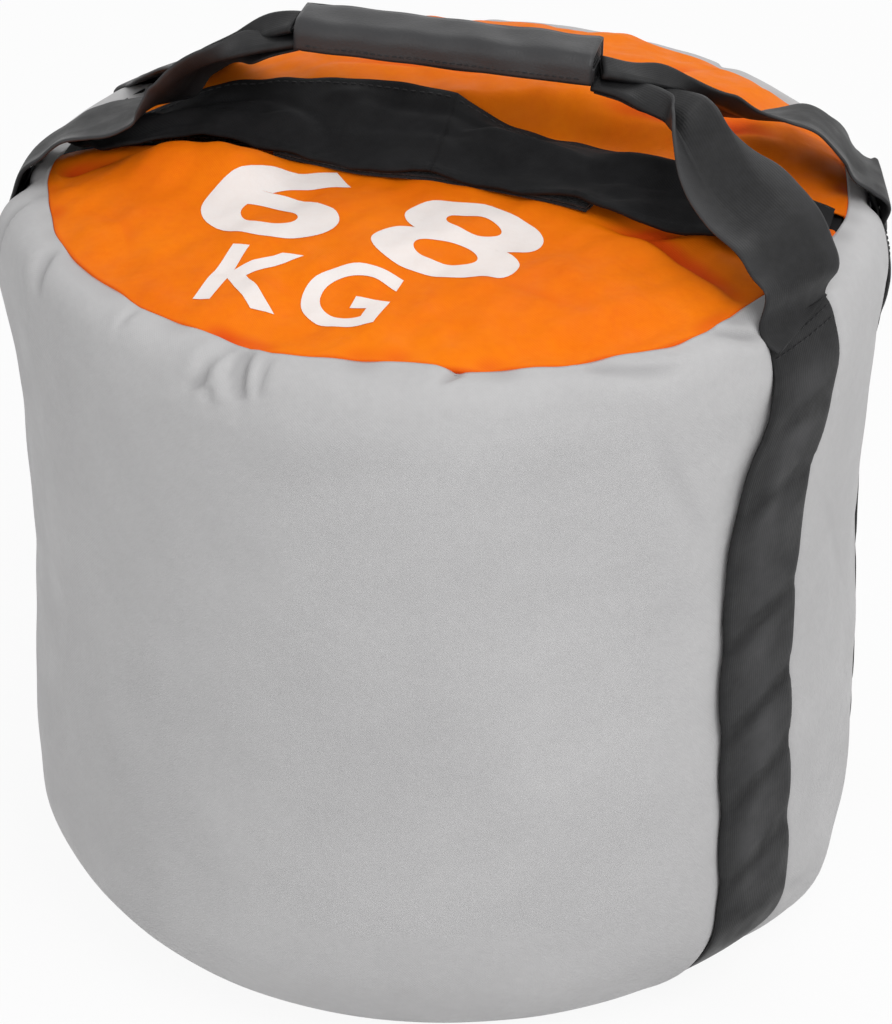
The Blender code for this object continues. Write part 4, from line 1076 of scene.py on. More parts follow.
        creases = creased(tuple((tuple(spot(*place) for place in path), *sizes)
                                for path, *sizes in self.creases), flat)
        for degrees, level, size, lift in self.billows:
            waves += lift * bell(np.linalg.norm(flat - spot(degrees, level), axis=-1), size)
        pressed = np.zeros(turn.shape)
        half, (inner, outer) = form.webbing_width / 2, self.press_edge
        swell_at, swell_width, swell_share = self.beside
        for loop in (FRONT_LOOP, REAR_LOOP):
            for right in (True, False):
                level = np.clip(height, 0.012, form.stitch_height)
                centre = form.loop_angle(loop, level, right)
                gap = np.abs(np.angle(np.exp(1j * (turn - centre)))) * form.radius
                under = 1 - smooth(gap, half - inner, half + outer)
                beside = bell(gap - half - swell_at, swell_width)
                fade = 1 - smooth(height, form.seam_height - 0.002, form.seam_height + 0.004)
                pressed = pressed + fade * (
                    self.press_depth * (swell_share * beside - under)
                    - form.sink(height) * under)
                waves = waves * (1 - under * fade)
        push = gathers + waves + creases + pressed
        # Painted shade in the creases and in the gathers just under the seam
        fold = np.clip(-creases / self.full_fold, 0, 1) * 0.8 + 0.5 * gather * bell(run, 0.008)
        return push, fold


@dataclass
class TopPanels:
    """The orange top in two halves, sewn to the wall and to the zip tapes."""

    form: BagForm
    columns: int = 250
    rows: int = 96
    slit_width: float = 0.017
    seam_gap: float = 0.0005
    roll_depth: float = 0.0022
    thickness: float = 0.0012
    pucker_depth: float = 0.0009
    pucker_reach: float = 0.013
    pucker_length: float = 0.022
    wave_height: float = 0.0011
    wave_lengths: tuple[float, float] = (0.075, 0.024)
    small_wave_share: float = 0.3
    rim_reach: float = 0.016
    slit_reach: float = 0.02
    ridge_share: float = 0.6
    # Depth of crease at which the painted shade in it is full
    full_fold: float = 0.003
    # Folds in plan as paths of (x, y), then depth, sharp width and soft width
    folds: tuple = (
        (((-0.178, -0.036), (-0.165, -0.024), (-0.146, -0.014)), 0.0042, 0.005, 0.01),
        (((-0.14, -0.004), (-0.117, -0.007), (-0.066, -0.0165), (-0.02, -0.02)),
         0.0045, 0.003, 0.008),
        (((0.078, -0.042), (0.106, -0.05), (0.13, -0.066), (0.16, -0.091)),
         0.0038, 0.003, 0.009),
        (((0.1, -0.047), (0.113, -0.043), (0.128, -0.041)), 0.003, 0.0025, 0.006),
        (((0.03, -0.096), (0.068, -0.118), (0.098, -0.124)), 0.0014, 0.004, 0.012),
        (((-0.11, -0.12), (-0.06, -0.128), (-0.01, -0.15)), 0.0009, 0.004, 0.01),
        (((-0.15, -0.07), (-0.128, -0.09), (-0.118, -0.118)), 0.0011, 0.003, 0.009),
        (((0.06, 0.04), (0.11, 0.052), (0.152, 0.06)), 0.0035, 0.004, 0.011),
        (((0.04, 0.078), (0.078, 0.1), (0.098, 0.132)), 0.0024, 0.004, 0.012),
        (((-0.08, 0.044), (-0.03, 0.06), (0.02, 0.058)), 0.002, 0.004, 0.012),
        (((-0.12, 0.07), (-0.076, 0.096), (-0.04, 0.14)), 0.0024, 0.004, 0.012),
    )
    # Hollows and billows in plan: place, radius and height
    billows: tuple = (
        ((0.132, -0.056), 0.028, -0.0045), ((0.08, -0.118), 0.034, 0.003),
        ((-0.122, -0.031), 0.02, 0.013),
        ((-0.092, -0.034), 0.02, 0.012), ((-0.03, -0.09), 0.06, 0.0016),
        ((0.12, 0.08), 0.04, 0.003), ((-0.07, 0.1), 0.05, 0.0025),
        ((0.15, 0.02), 0.026, -0.003), ((0.01, 0.11), 0.045, -0.002))

    def surface(self, x: Array, y: Array) -> tuple[Array, Array]:
        """Height of the finished panel at places in plan, and how deep its folds are.

        Args:
            x: Places along the zip.
            y: Places across the zip.

        Returns:
            The heights and the folds, 0 to 1.
        """
        radius, angle = np.hypot(x, y), np.arctan2(y, x)
        rim_radius, rim_height = self.form.rim(angle)
        inward = np.maximum(rim_radius - radius, 0.0)
        near_rim = np.exp(-inward / self.rim_reach)
        height = self.form.dome(x, y)
        edge = self.form.dome(rim_radius * np.cos(angle), rim_radius * np.sin(angle))
        height = height + near_rim * (rim_height - edge)
        around = polar(self.form.radius, angle, 0.0)
        pucker = 0.5 + 0.5 * Ripple(self.pucker_length, 21, 10).at(around)
        drop = self.pucker_depth * pucker * bell(inward - 0.002, self.pucker_reach)
        plan = np.stack([x, y], axis=-1)
        slit = smooth(np.abs(y), self.slit_width / 2, self.slit_width / 2 + self.slit_reach)
        long, short = self.wave_lengths
        relief = self.wave_height * Ripple(long, 31).at(plan)
        relief += self.small_wave_share * self.wave_height * Ripple(short, 32, 10).at(plan)
        folds = creased(self.folds, plan, self.ridge_share)
        for (at_x, at_y), size, lift in self.billows:
            relief += lift * bell(np.hypot(x - at_x, y - at_y), size)
        fade = slit * smooth(inward, 0.0, 0.012)
        # Painted shade in the folds, in a line along the seam and in the puckers beside it
        sunk = np.clip(-folds / self.full_fold, 0, 1)
        fold = np.maximum(0.9 * sunk * slit, 0.55 * bell(inward, 0.0022))
        fold = np.maximum(fold, 0.45 * pucker * bell(inward - 0.002, 0.007))
        return height - drop + fade * relief + slit * folds, fold

    def half(self, side: int) -> tuple[Array, Array]:
        """Grid of one half, from the seam to the slit or back, and its fold values.

        Args:
            side: -1 for the front half, 1 for the rear.

        Returns:
            The grid and the folds.
        """
        half_slit = self.slit_width / 2
        end = math.asin(half_slit / self.form.seam_radius) + 0.004
        turn = np.pi - end - (np.pi - 2 * end) * np.linspace(0, 1, self.columns)
        rim_radius = self.form.rim(turn * side)[0] - self.seam_gap
        rim = np.stack([rim_radius * np.cos(turn), side * rim_radius * np.sin(turn)], axis=-1)
        slit = np.stack([rim[:, 0] * 0.997, np.full(self.columns, side * half_slit)], axis=-1)
        share = np.linspace(0, 1, self.rows)[:, None, None]
        share = 1 - (1 - share) ** 1.35
        plan = slit + (rim - slit) * share
        height, fold = self.surface(plan[..., 0], plan[..., 1])
        grid = np.concatenate([plan, height[..., None]], axis=-1)
        rolled = grid[-1].copy()
        rolled[:, 2] -= self.roll_depth
        rolled[:, :2] *= 1 + 0.0006 / self.form.seam_radius
        grid = np.concatenate([grid, rolled[None]], axis=0)
        # The rolled edge gets full painted shade
        fold = np.concatenate([fold, np.ones((1, self.columns))], axis=0)
        return (grid, fold) if side > 0 else (grid[::-1], fold[::-1])

    def build(self, builder: Builder) -> None:
        """Make both halves and dress them.

        Args:
            builder: Dresses and places pieces.
        """
        for name, side, node in (("orange_front", -1, "top_front_panel"),
                                 ("orange_rear", 1, "top_rear_panel")):
            grid, fold = self.half(side)
            panel = grid_mesh(name, grid)
            paint_shade_and_sheen(panel, fold)
            thicken(panel, self.thickness)
            builder.place(panel, "orange_oxford", "root", node)


@dataclass
class WeightMark:
    """A plain white weight mark on the front half of the top, in two lines."""

    lift: float = 0.00025
    cell: float = 0.0035
    # Words, place of the line's middle, height and width of the line, turn in degrees, weight
    lines: tuple = (("68", (-0.018, -0.069), 0.07, 0.158, -12.0, 0.018),
                    ("KG", (-0.034, -0.132), 0.046, 0.084, -7.5, 0.018))

    def build(self, builder: Builder) -> None:
        """Make each line of the mark and lay it on the fabric.

        Args:
            builder: Dresses and places pieces.
        """
        for number, (words, place, height, width, degrees, weight) in enumerate(self.lines):
            data = bpy.data.curves.new(f"weight_mark_{number}", "FONT")
            data.body, data.offset, data.space_character = words, weight, 1.2
            guide = blank_object(data.name, data)
            view = bpy.context.evaluated_depsgraph_get()
            mesh = bpy.data.meshes.new_from_object(guide.evaluated_get(view))
            bpy.data.objects.remove(guide, do_unlink=True)
            self.lay(mesh, place, (width, height), math.radians(degrees))
            piece = blank_object(f"weight_mark_{number + 1}", mesh)
            builder.place(piece, "white_print", "root")

    def lay(self, mesh: bpy.types.Mesh, place: tuple[float, float], size: tuple[float, float],
            turn: float) -> None:
        """Cut a flat mark into small cells and lay it on the panel's surface.

        Args:
            mesh: The flat mark.
            place: Where its middle goes, in plan.
            size: Its width and height.
            turn: Its turn about the vertical.
        """
        shape = bmesh.new()
        shape.from_mesh(mesh)
        bmesh.ops.remove_doubles(shape, verts=shape.verts, dist=WELD)
        spots = np.array([vert.co for vert in shape.verts])
        low, high = spots.min(axis=0), spots.max(axis=0)
        scale = np.array(size) / (high - low)[:2]
        for vert in shape.verts:
            vert.co.x = (vert.co.x - (low[0] + high[0]) / 2) * scale[0]
            vert.co.y = (vert.co.y - (low[1] + high[1]) / 2) * scale[1]
        for axis, length in enumerate(size):
            for step in np.arange(-length / 2 + self.cell, length / 2, self.cell):
                plane = Vector((0, 0, 0))
                plane[axis] = 1
                geometry = list(shape.verts) + list(shape.edges) + list(shape.faces)
                bmesh.ops.bisect_plane(shape, geom=geometry, plane_co=plane * step,
                                       plane_no=plane, dist=WELD)
        flat = np.array([vert.co for vert in shape.verts])[:, :2]
        cos, sin = math.cos(turn), math.sin(turn)
        plan = flat @ np.array([[cos, sin], [-sin, cos]]) + place
        below = bpy.data.objects["orange_front"].data
        fabric = BVHTree.FromPolygons([vert.co for vert in below.vertices],
                                      [face.vertices for face in below.polygons])
        for vert, (x, y) in zip(shape.verts, plan):
            hit = fabric.ray_cast(Vector((x, y, 1.0)), Vector((0, 0, -1.0)))[0]
            vert.co = (x, y, hit.z + self.lift)
        bmesh.ops.recalc_face_normals(shape, faces=shape.faces)
        if sum(face.normal.z for face in shape.faces) < 0:
            bmesh.ops.reverse_faces(shape, faces=shape.faces)
        shape.to_mesh(mesh)
        shape.free()
        mesh.shade_smooth()
        layer = mesh.uv_layers.new(name=CLOTH_UV)
        places = np.array([mesh.vertices[loop.vertex_index].co[:2] for loop in mesh.loops])
        layer.data.foreach_set("uv", places.reshape(-1).astype(np.float32))


def stitch_line(name: str, route: Array, out: Array, pitch: float = 0.0042,
                length: float = 0.003, radius: float = 0.00032) -> Piece:
    """A row of sewn stitches as small threads that dip into the cloth at both ends.

    Args:
        name: The piece's name.
        route: Places along the seam, on the cloth's surface.
        out: The cloth's outward direction at each place.
        pitch: Distance from one stitch to the next.
        length: Length of a stitch.
        radius: Half the thread's thickness.

    Returns:
        The row as one piece.
    """
    run = run_along(route)
    corners, faces = [], []
    sides = 6
    turns = np.linspace(0, 2 * np.pi, sides, endpoint=False)
    # Share of the stitch's length, then thickness and lift as shares of the thread's radius
    rings = ((0.0, 0.6, -0.6), (0.2, 1.0, 0.5), (0.8, 1.0, 0.5), (1.0, 0.6, -0.6))
    for start in np.arange(pitch / 2, run[-1] - length, pitch):
        first = len(corners)
        for share, swell, lift in rings:
            at = start + share * length
            spot = np.array([np.interp(at, run, route[:, axis]) for axis in range(3)])
            up = unit(np.array([np.interp(at, run, out[:, axis]) for axis in range(3)]))
            ahead = np.array([np.interp(at + radius, run, route[:, axis]) for axis in range(3)])
            side = unit(np.cross(up, ahead - spot))
            for turn in turns:
                corners.append(spot + up * radius * (lift + swell * math.sin(turn))
                               + side * radius * swell * math.cos(turn))
        last = first + (len(rings) - 1) * sides
        for a in range(first, last, sides):
            for corner in range(sides):
                after, b = (corner + 1) % sides, a + sides
                faces.append((a + corner, a + after, b + after, b + corner))
        faces.append(tuple(first + corner for corner in reversed(range(sides))))
        faces.append(tuple(last + corner for corner in range(sides)))
    mesh = bpy.data.meshes.new(name)
    mesh.from_pydata([tuple(corner) for corner in corners], [], faces)
    shape = bmesh.new()
    shape.from_mesh(mesh)
    bmesh.ops.recalc_face_normals(shape, faces=shape.faces)
    shape.to_mesh(mesh)
    shape.free()
    mesh.shade_smooth()
    return blank_object(name, mesh)


@dataclass
class ClosureFlap:
    """The black flap over the zip, sewn behind it and turned up from the middle."""

    form: BagForm
    columns: int = 80
    rows: int = 34
    end_x: float = field(default_factory=lambda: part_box("flap_end_right")[1].x + 0.005)
    middle_x: float = field(default_factory=lambda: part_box("closure_flap")[1].x)
    # Sewn and free edge as (x, y) places in plan
    sewn_edge: tuple = ((-0.182, 0.01), (-0.141, 0.02), (-0.109, 0.0265), (-0.077, 0.0265),
                        (0.0, 0.0235), (0.06, 0.02), (0.115, 0.0155), (0.182, 0.005))
    free_edge: tuple = ((-0.182, -0.008), (-0.16, -0.02), (-0.145, -0.021),
                        (-0.13, -0.014), (-0.115, -0.012), (-0.098, -0.014),
                        (-0.076, -0.021), (-0.051, -0.027), (-0.031, -0.031),
                        (0.004, -0.031), (0.057, -0.037), (0.085, -0.043),
                        (0.103, -0.048), (0.13, -0.047), (0.158, -0.04), (0.182, -0.02))
    thickness: float = 0.0024
    seat: float = 0.0007
    strips: float = 0.0033
    hump: float = 0.0075
    hump_width: float = 0.018
    chain_x: float = field(default_factory=lambda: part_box("zip_chain_rear")[1].x)
    hem_width: float = 0.0042
    hem_height: float = 0.0012
    turn_reach: tuple[float, float] = (0.125, 0.06)
    wrinkle_height: float = 0.0011
    small_wrinkle_height: float = 0.0004
    # Width over which the fold lines below are laid out
    fold_width: float = 0.052
    full_fold: float = 0.0015
    ridge_share: float = 0.9
    seam_share: float = 0.07
    # Fold lines as paths of (x, share from the sewn edge), depth, sharp and soft widths
    folds: tuple = (
        (((-0.04, 0.52), (0.03, 0.44), (0.11, 0.5)), 0.0014, 0.0016, 0.004),
        (((-0.05, 0.2), (0.02, 0.26), (0.09, 0.36)), 0.0012, 0.0016, 0.004),
        (((0.09, 0.72), (0.125, 0.5), (0.165, 0.4)), 0.0018, 0.0016, 0.004),
        (((-0.09, 0.3), (-0.062, 0.5), (-0.05, 0.84)), 0.0012, 0.0018, 0.004),
        (((-0.15, 0.6), (-0.115, 0.35), (-0.08, 0.3)), 0.0014, 0.0018, 0.004),
    )

    def edges(self, x: Array) -> tuple[Array, Array]:
        """Rear and free edge of the flap at places along the zip."""
        curves = (through(np.array(edge), 321) for edge in (self.sewn_edge, self.free_edge))
        return tuple(np.interp(x, curve[:, 0], curve[:, 1]) for curve in curves)

    def place(self, x: Array, share: Array) -> Array:
        """Places on the flap's upper face: share 0 at the sewn edge, 1 at the free edge.

        Args:
            x: Places along the zip.
            share: 0 at the sewn edge, 1 at the free edge.

        Returns:
            The places.
        """
        rear, front = self.edges(x)
        y = rear + (front - rear) * share
        middle = 1 - smooth(np.abs(x), self.middle_x, self.end_x)
        lift = self.seat + middle * share * self.strips + self.thickness
        high, low = self.form.dome(x, rear), self.form.dome(x, front)
        over = 1 - smooth(np.abs(x), self.chain_x, self.end_x)
        hump = self.hump * over * (1 - smooth(np.abs(y), 0, self.hump_width))
        height = np.maximum(high + (low - high) * share, self.form.dome(x, y) + hump) + lift
        return np.stack([x, y, height], axis=-1)

    def relief(self, x: Array, share: Array) -> tuple[Array, Array]:
        """Wrinkles, hem and fold lines over the flap, and how deep the folds are.

        Args:
            x: Places along the zip.
            share: 0 at the sewn edge, 1 at the free edge.

        Returns:
            The lift and the folds, 0 to 1.
        """
        rear, front = self.edges(x)
        width = rear - front
        plan = np.stack([x, share * width], axis=-1)
        away = (1 - share) * width
        hem = bell(away - self.hem_width * 0.3, 0.0008) + bell(away - self.hem_width, 0.0008)
        hem = hem * (0.75 + 0.25 * Ripple(0.006, 44).at(plan))
        lift = self.hem_height * hem + self.wrinkle_height * Ripple(0.045, 41).at(
            plan) * smooth(share, 0.0, 0.25)
        lift += self.small_wrinkle_height * Ripple(0.014, 42, 10).at(plan)
        laid_out = np.stack([x, share * self.fold_width], axis=-1)
        rows = tuple((tuple((at, level * self.fold_width) for at, level in path), *sizes)
                     for path, *sizes in self.folds)
        folds = creased(rows, laid_out, self.ridge_share)
        # Fold values for the black flap, which its finish paints as paler sheen on the folds
        return lift + folds, np.clip(-folds / self.full_fold, 0, 1) * 0.7

    def half(self, name: str, start: float, end: float) -> Piece:
        """One half of the flap, from one place along the zip to another.

        Args:
            name: The piece's name.
            start: Where it starts along the zip.
            end: Where it ends.

        Returns:
            The half.
        """
        x, share = np.meshgrid(np.linspace(start, end, self.columns),
                               np.linspace(1, 0, self.rows))
        grid = self.place(x, share)
        lift, fold = self.relief(x, share)
        grid[..., 2] += lift
        half = grid_mesh(name, grid)
        paint_shade_and_sheen(half, fold)
        thicken(half, self.thickness * 0.8)
        return half

    def build(self, builder: Builder) -> None:
        """Make both halves, which share one edge, with their stitching.

        Args:
            builder: Dresses and places pieces.
        """
        stay, turned = self.turn_reach
        for name, side, end in (("flap_left", -1, "flap_end_left"),
                                ("flap_right", 1, "flap_end_right")):
            span = (-self.end_x, 0.0) if side < 0 else (0.0, self.end_x)
            half = self.half(name, *span)
            x = np.linspace(*span, 60)
            rear, front = self.edges(x)
            builder.bridge(half, "black_oxford", ("root", "flap"),
                           ((side * stay, 0, 0), (side * turned, 0, 0)), end, "closure_flap")
            self.seam(builder, name, x)

    def seam(self, builder: Builder, name: str, x: Array) -> None:
        """Stitches along the sewn edge of one half, which stay with the top.

        Args:
            builder: Dresses and places pieces.
            name: The half's name.
            x: Places along the zip.
        """
        share = np.full(x.shape, self.seam_share)
        places = self.place(x, share)
        places[:, 2] += self.relief(x, share)[0]
        out = np.broadcast_to([0.0, 0.0, 1.0], places.shape)
        builder.place(stitch_line(f"{name}_seam", places, out), "black_thread", "root")


@dataclass
class BodyStrap:
    """One webbing loop's lower run: down one side, under the base and up the other."""

    form: BagForm
    name: str
    node: str
    loop: Loop
    thickness: float = 0.0023
    columns: int = 21
    bulge: float = 0.0008
    floor_gap: float = 0.0003
    crease_heights: tuple[float, ...] = (0.318, 0.284, 0.217, 0.169, 0.129, 0.087)
    crease_slope: float = 0.4
    pinch: float = 0.0055
    narrowing: float = 0.0019
    narrow_reach: float = 0.01
    # Rows of the band, counted from each end, that carry stitches
    stitch_rows: tuple[int, int] = (2, 4)

    def side(self, right: bool, steps: int = 140) -> Array:
        """Middle line of one side from the stitch line to the base.

        Args:
            right: Whether it is the right side.
            steps: How many places to read.

        Returns:
            The places.
        """
        form = self.form
        start = float(form.at_height(np.array(self.loop.seam(right) - 0.0008))[1])
        run = np.linspace(start, form.wall_run, steps)
        radius = np.interp(run, form.run, form.line[:, 0])
        height = np.interp(run, form.run, form.line[:, 1])
        spot = form.crossing(self.loop, radius, right)
        turn = np.arctan2(spot[:, 1], spot[:, 0]) + self.loop.drift(right) * smooth(
            height, form.drift_share * form.height, form.stitch_height)
        return polar(radius, turn, height)

    def route(self) -> Array:
        """Middle line of the whole run, from the right stitch line to the left one.

        Returns:
            The places, one row each.
        """
        right, left = self.side(True), self.side(False)
        share = np.linspace(0, 1, 42)[1:-1, None]
        under = right[-1] + (left[-1] - right[-1]) * share
        return np.vstack([right, under, left[::-1]])

    def build(self, builder: Builder) -> None:
        """Make the band, its rows of stitches at each end, and dress them.

        Args:
            builder: Dresses and places pieces.
        """
        form, route = self.form, self.route()
        along = unit(np.gradient(route, axis=0))
        plan = unit(np.array([-form.straight(self.loop)[0], 1.0, 0.0]))
        across = unit(np.cross(form.facing(route), along))
        across *= np.where(across @ plan < 0, -1, 1)[:, None]
        low = 1 - smooth(route[:, 2], 0.018, form.corner)[:, None]
        across = unit(across * (1 - low) + plan * low)
        section = band_section(form.webbing_width, self.thickness, self.columns)
        shift = np.broadcast_to(section[:, 0], (len(route), len(section)))
        out = np.broadcast_to(section[:, 1], shift.shape)
        narrow, swell, painted_sheen = self.swell(route, across, shift)
        spots = route[:, None] + across[:, None] * (shift * narrow)[..., None]
        gap = form.webbing_gap + self.thickness / 2 - form.sink(spots[..., 2]) + swell
        rings = form.on_wall(spots, gap + out)
        rim = form.line[form.wall_rows - 1, 0]
        flat = 1 - smooth(np.hypot(spots[..., 0], spots[..., 1]), rim - 0.006, rim + 0.002)
        under = self.floor_gap + self.thickness / 2 - out
        rings[..., 2] = np.maximum(rings[..., 2] * (1 - flat) + under * flat, self.floor_gap)
        band = loft_mesh(self.name, rings)
        paint_shade_and_sheen(band, painted_sheen)
        builder.place(band, "black_webbing_ribbed", "root", self.node)
        self.stitches(builder, rings, section)

    def swell(self, route: Array, across: Array, shift: Array) -> tuple[Array, Array, Array]:
        """How far the band narrows, how far it bulges, and where it gets painted sheen.

        Args:
            route: The middle line.
            across: Direction of the width along it.
            shift: Distances from the middle line.

        Returns:
            Share of the width, distance out and painted sheen, 0 to 1.
        """
        side = np.sign(across[:, 1] * route[:, 0])
        height = route[:, 2][:, None] - self.crease_slope * shift * side[:, None]
        pinch = sum(bell(height - level, self.pinch) for level in self.crease_heights)
        tight = sum(bell(height - level, self.narrow_reach) for level in self.crease_heights)
        zone = (smooth(route[:, 2], 0.052, 0.085) * (1 - smooth(
            route[:, 2], self.form.seam_height - 0.03, self.form.seam_height - 0.014)))[:, None]
        half = self.form.webbing_width / 2
        places = np.stack([height, shift], axis=-1)
        wave = 0.3 * Ripple(0.045, 61).at(places)
        swell = self.bulge * zone * np.clip(1 - pinch + wave, 0, 1.4) * (
            1 - 0.5 * (shift / half) ** 4)
        # Painted sheen in the middle of the band, on the bulges between the creases
        painted_sheen = zone * np.clip(0.62 - 0.9 * pinch + 0.25 * wave, 0, 0.8) * bell(shift, 0.016)
        return 1 - self.narrowing / half * tight * zone, swell, painted_sheen

    def stitches(self, builder: Builder, rings: Array, section: Array) -> None:
        """Two rows of stitches at each end, where the leg is sewn over the band.

        Args:
            builder: Dresses and places pieces.
            rings: The band's rings.
            section: The band's cross-section.
        """
        outer = np.flatnonzero(section[:, 1] > self.thickness * 0.45)
        for end, label in ((1, "right"), (-1, "left")):
            for number, inset in enumerate(self.stitch_rows, 1):
                row = rings[inset * end][outer]
                out = self.form.facing(row)
                thread = stitch_line(f"{self.name}_{label}_stitches_{number}",
                                     row + out * 0.0001, out)
                builder.place(thread, "black_thread", "root")


@dataclass(frozen=True)
class LegRoute:
    """One leg of webbing from its stitch line over the rim to the grip.

    Each stop is a row of a place on the middle line, the direction of the width there, and
    how far the band is folded in three, 0 to 1.
    """

    name: str
    node: str
    loop: Loop
    right: bool
    stops: tuple[tuple[float, ...], ...]


LEG_ROUTES = (
    LegRoute("leg_front_right", "front_right_leg", FRONT_LOOP, True, (
        (0.18, -0.083, 0.3765, 0.45, 0.88, 0.12, 0.0),
        (0.174, -0.077, 0.3865, 0.5, 0.82, 0.2, 0.02),
        (0.166, -0.07, 0.3945, 0.56, 0.77, 0.26, 0.04),
        (0.154, -0.06, 0.3995, 0.62, 0.72, 0.3, 0.08),
        (0.143, -0.051, 0.405, 0.64, 0.69, 0.33, 0.16),
        (0.134, -0.042, 0.4105, 0.64, 0.68, 0.36, 0.3),
        (0.126, -0.032, 0.4165, 0.6, 0.68, 0.42, 0.46),
        (0.119, -0.021, 0.42, 0.45, 0.75, 0.45, 0.62),
        (0.111, -0.01, 0.42, 0.3, 0.85, 0.4, 0.8),
        (0.096, -0.001, 0.4185, 0.08, 0.98, 0.15, 0.92),
        (0.0825, 0.0035, 0.42, 0.0, 1.0, 0.0, 1.0),
        (0.07, 0.0055, 0.4215, 0.0, 1.0, 0.0, 1.0))),
    LegRoute("leg_rear_right", "rear_right_leg", REAR_LOOP, True, (
        (0.1975, 0.0518, 0.3625, -0.24, 0.96, -0.05, 0.0),
        (0.1905, 0.0495, 0.369, -0.2, 0.95, -0.1, 0.0),
        (0.184, 0.0475, 0.3755, 0.0, 0.95, -0.2, 0.03),
        (0.176, 0.045, 0.386, 0.0, 0.95, -0.2, 0.04),
        (0.164, 0.041, 0.396, -0.12, 0.95, -0.15, 0.05),
        (0.15, 0.0358, 0.3995, -0.18, 0.95, -0.22, 0.07),
        (0.1345, 0.03, 0.402, -0.12, 0.9, -0.36, 0.1),
        (0.1211, 0.0251, 0.4078, 0.0, 0.87, -0.5, 0.18),
        (0.1056, 0.0193, 0.4172, 0.0, 0.97, -0.26, 0.5),
        (0.088, 0.0127, 0.4235, 0.0, 1.0, -0.1, 0.95),
        (0.0706, 0.0065, 0.4285, 0.0, 1.0, 0.0, 1.0))),
    LegRoute("leg_front_left", "front_left_leg", FRONT_LOOP, False, (
        (-0.1945, -0.024, 0.369, -0.06, 0.99, -0.12, 0.0),
        (-0.1844, -0.0217, 0.377, 0.0, 0.995, -0.1, 0.0),
        (-0.1755, -0.0196, 0.3832, 0.0, 0.993, -0.12, 0.0),
        (-0.1649, -0.017, 0.3866, 0.0, 0.998, -0.06, 0.0),
        (-0.155, -0.0148, 0.389, 0.0, 0.999, -0.04, 0.0),
        (-0.1475, -0.0128, 0.3915, 0.0, 0.995, -0.1, 0.0),
        (-0.1409, -0.0112, 0.3935, 0.0, 0.97, -0.242, 0.02),
        (-0.134, -0.0093, 0.3986, 0.0, 0.891, -0.454, 0.0),
        (-0.1279, -0.008, 0.4036, 0.0, 0.866, -0.5, 0.05),
        (-0.1208, -0.0063, 0.4117, 0.0, 0.94, -0.342, 0.12),
        (-0.1116, -0.0041, 0.4178, 0.0, 0.98, -0.2, 0.3),
        (-0.1002, -0.0013, 0.4228, 0.0, 1.0, 0.0, 0.62),
        (-0.0889, 0.0014, 0.4253, 0.0, 1.0, 0.0, 0.92),
        (-0.07, 0.0055, 0.429, 0.0, 1.0, 0.0, 1.0))),
    LegRoute("leg_rear_left", "rear_left_leg", REAR_LOOP, False, (
        (-0.1735, 0.106, 0.3565, 0.58, 0.81, 0.0, 0.0),
        (-0.162, 0.0945, 0.3645, 0.6, 0.8, 0.0, 0.0),
        (-0.153, 0.08, 0.3725, 0.64, 0.77, 0.0, 0.0),
        (-0.144, 0.066, 0.3815, 0.66, 0.75, 0.0, 0.0),
        (-0.134, 0.052, 0.3915, 0.66, 0.75, 0.0, 0.0),
        (-0.123, 0.039, 0.4005, 0.58, 0.81, 0.0, 0.03),
        (-0.111, 0.027, 0.4105, 0.4, 0.91, 0.0, 0.1),
        (-0.098, 0.017, 0.4205, 0.22, 0.97, 0.0, 0.36),
        (-0.084, 0.01, 0.43, 0.0, 1.0, 0.0, 0.8),
        (-0.07, 0.0062, 0.4365, 0.0, 1.0, 0.0, 1.0))),
)


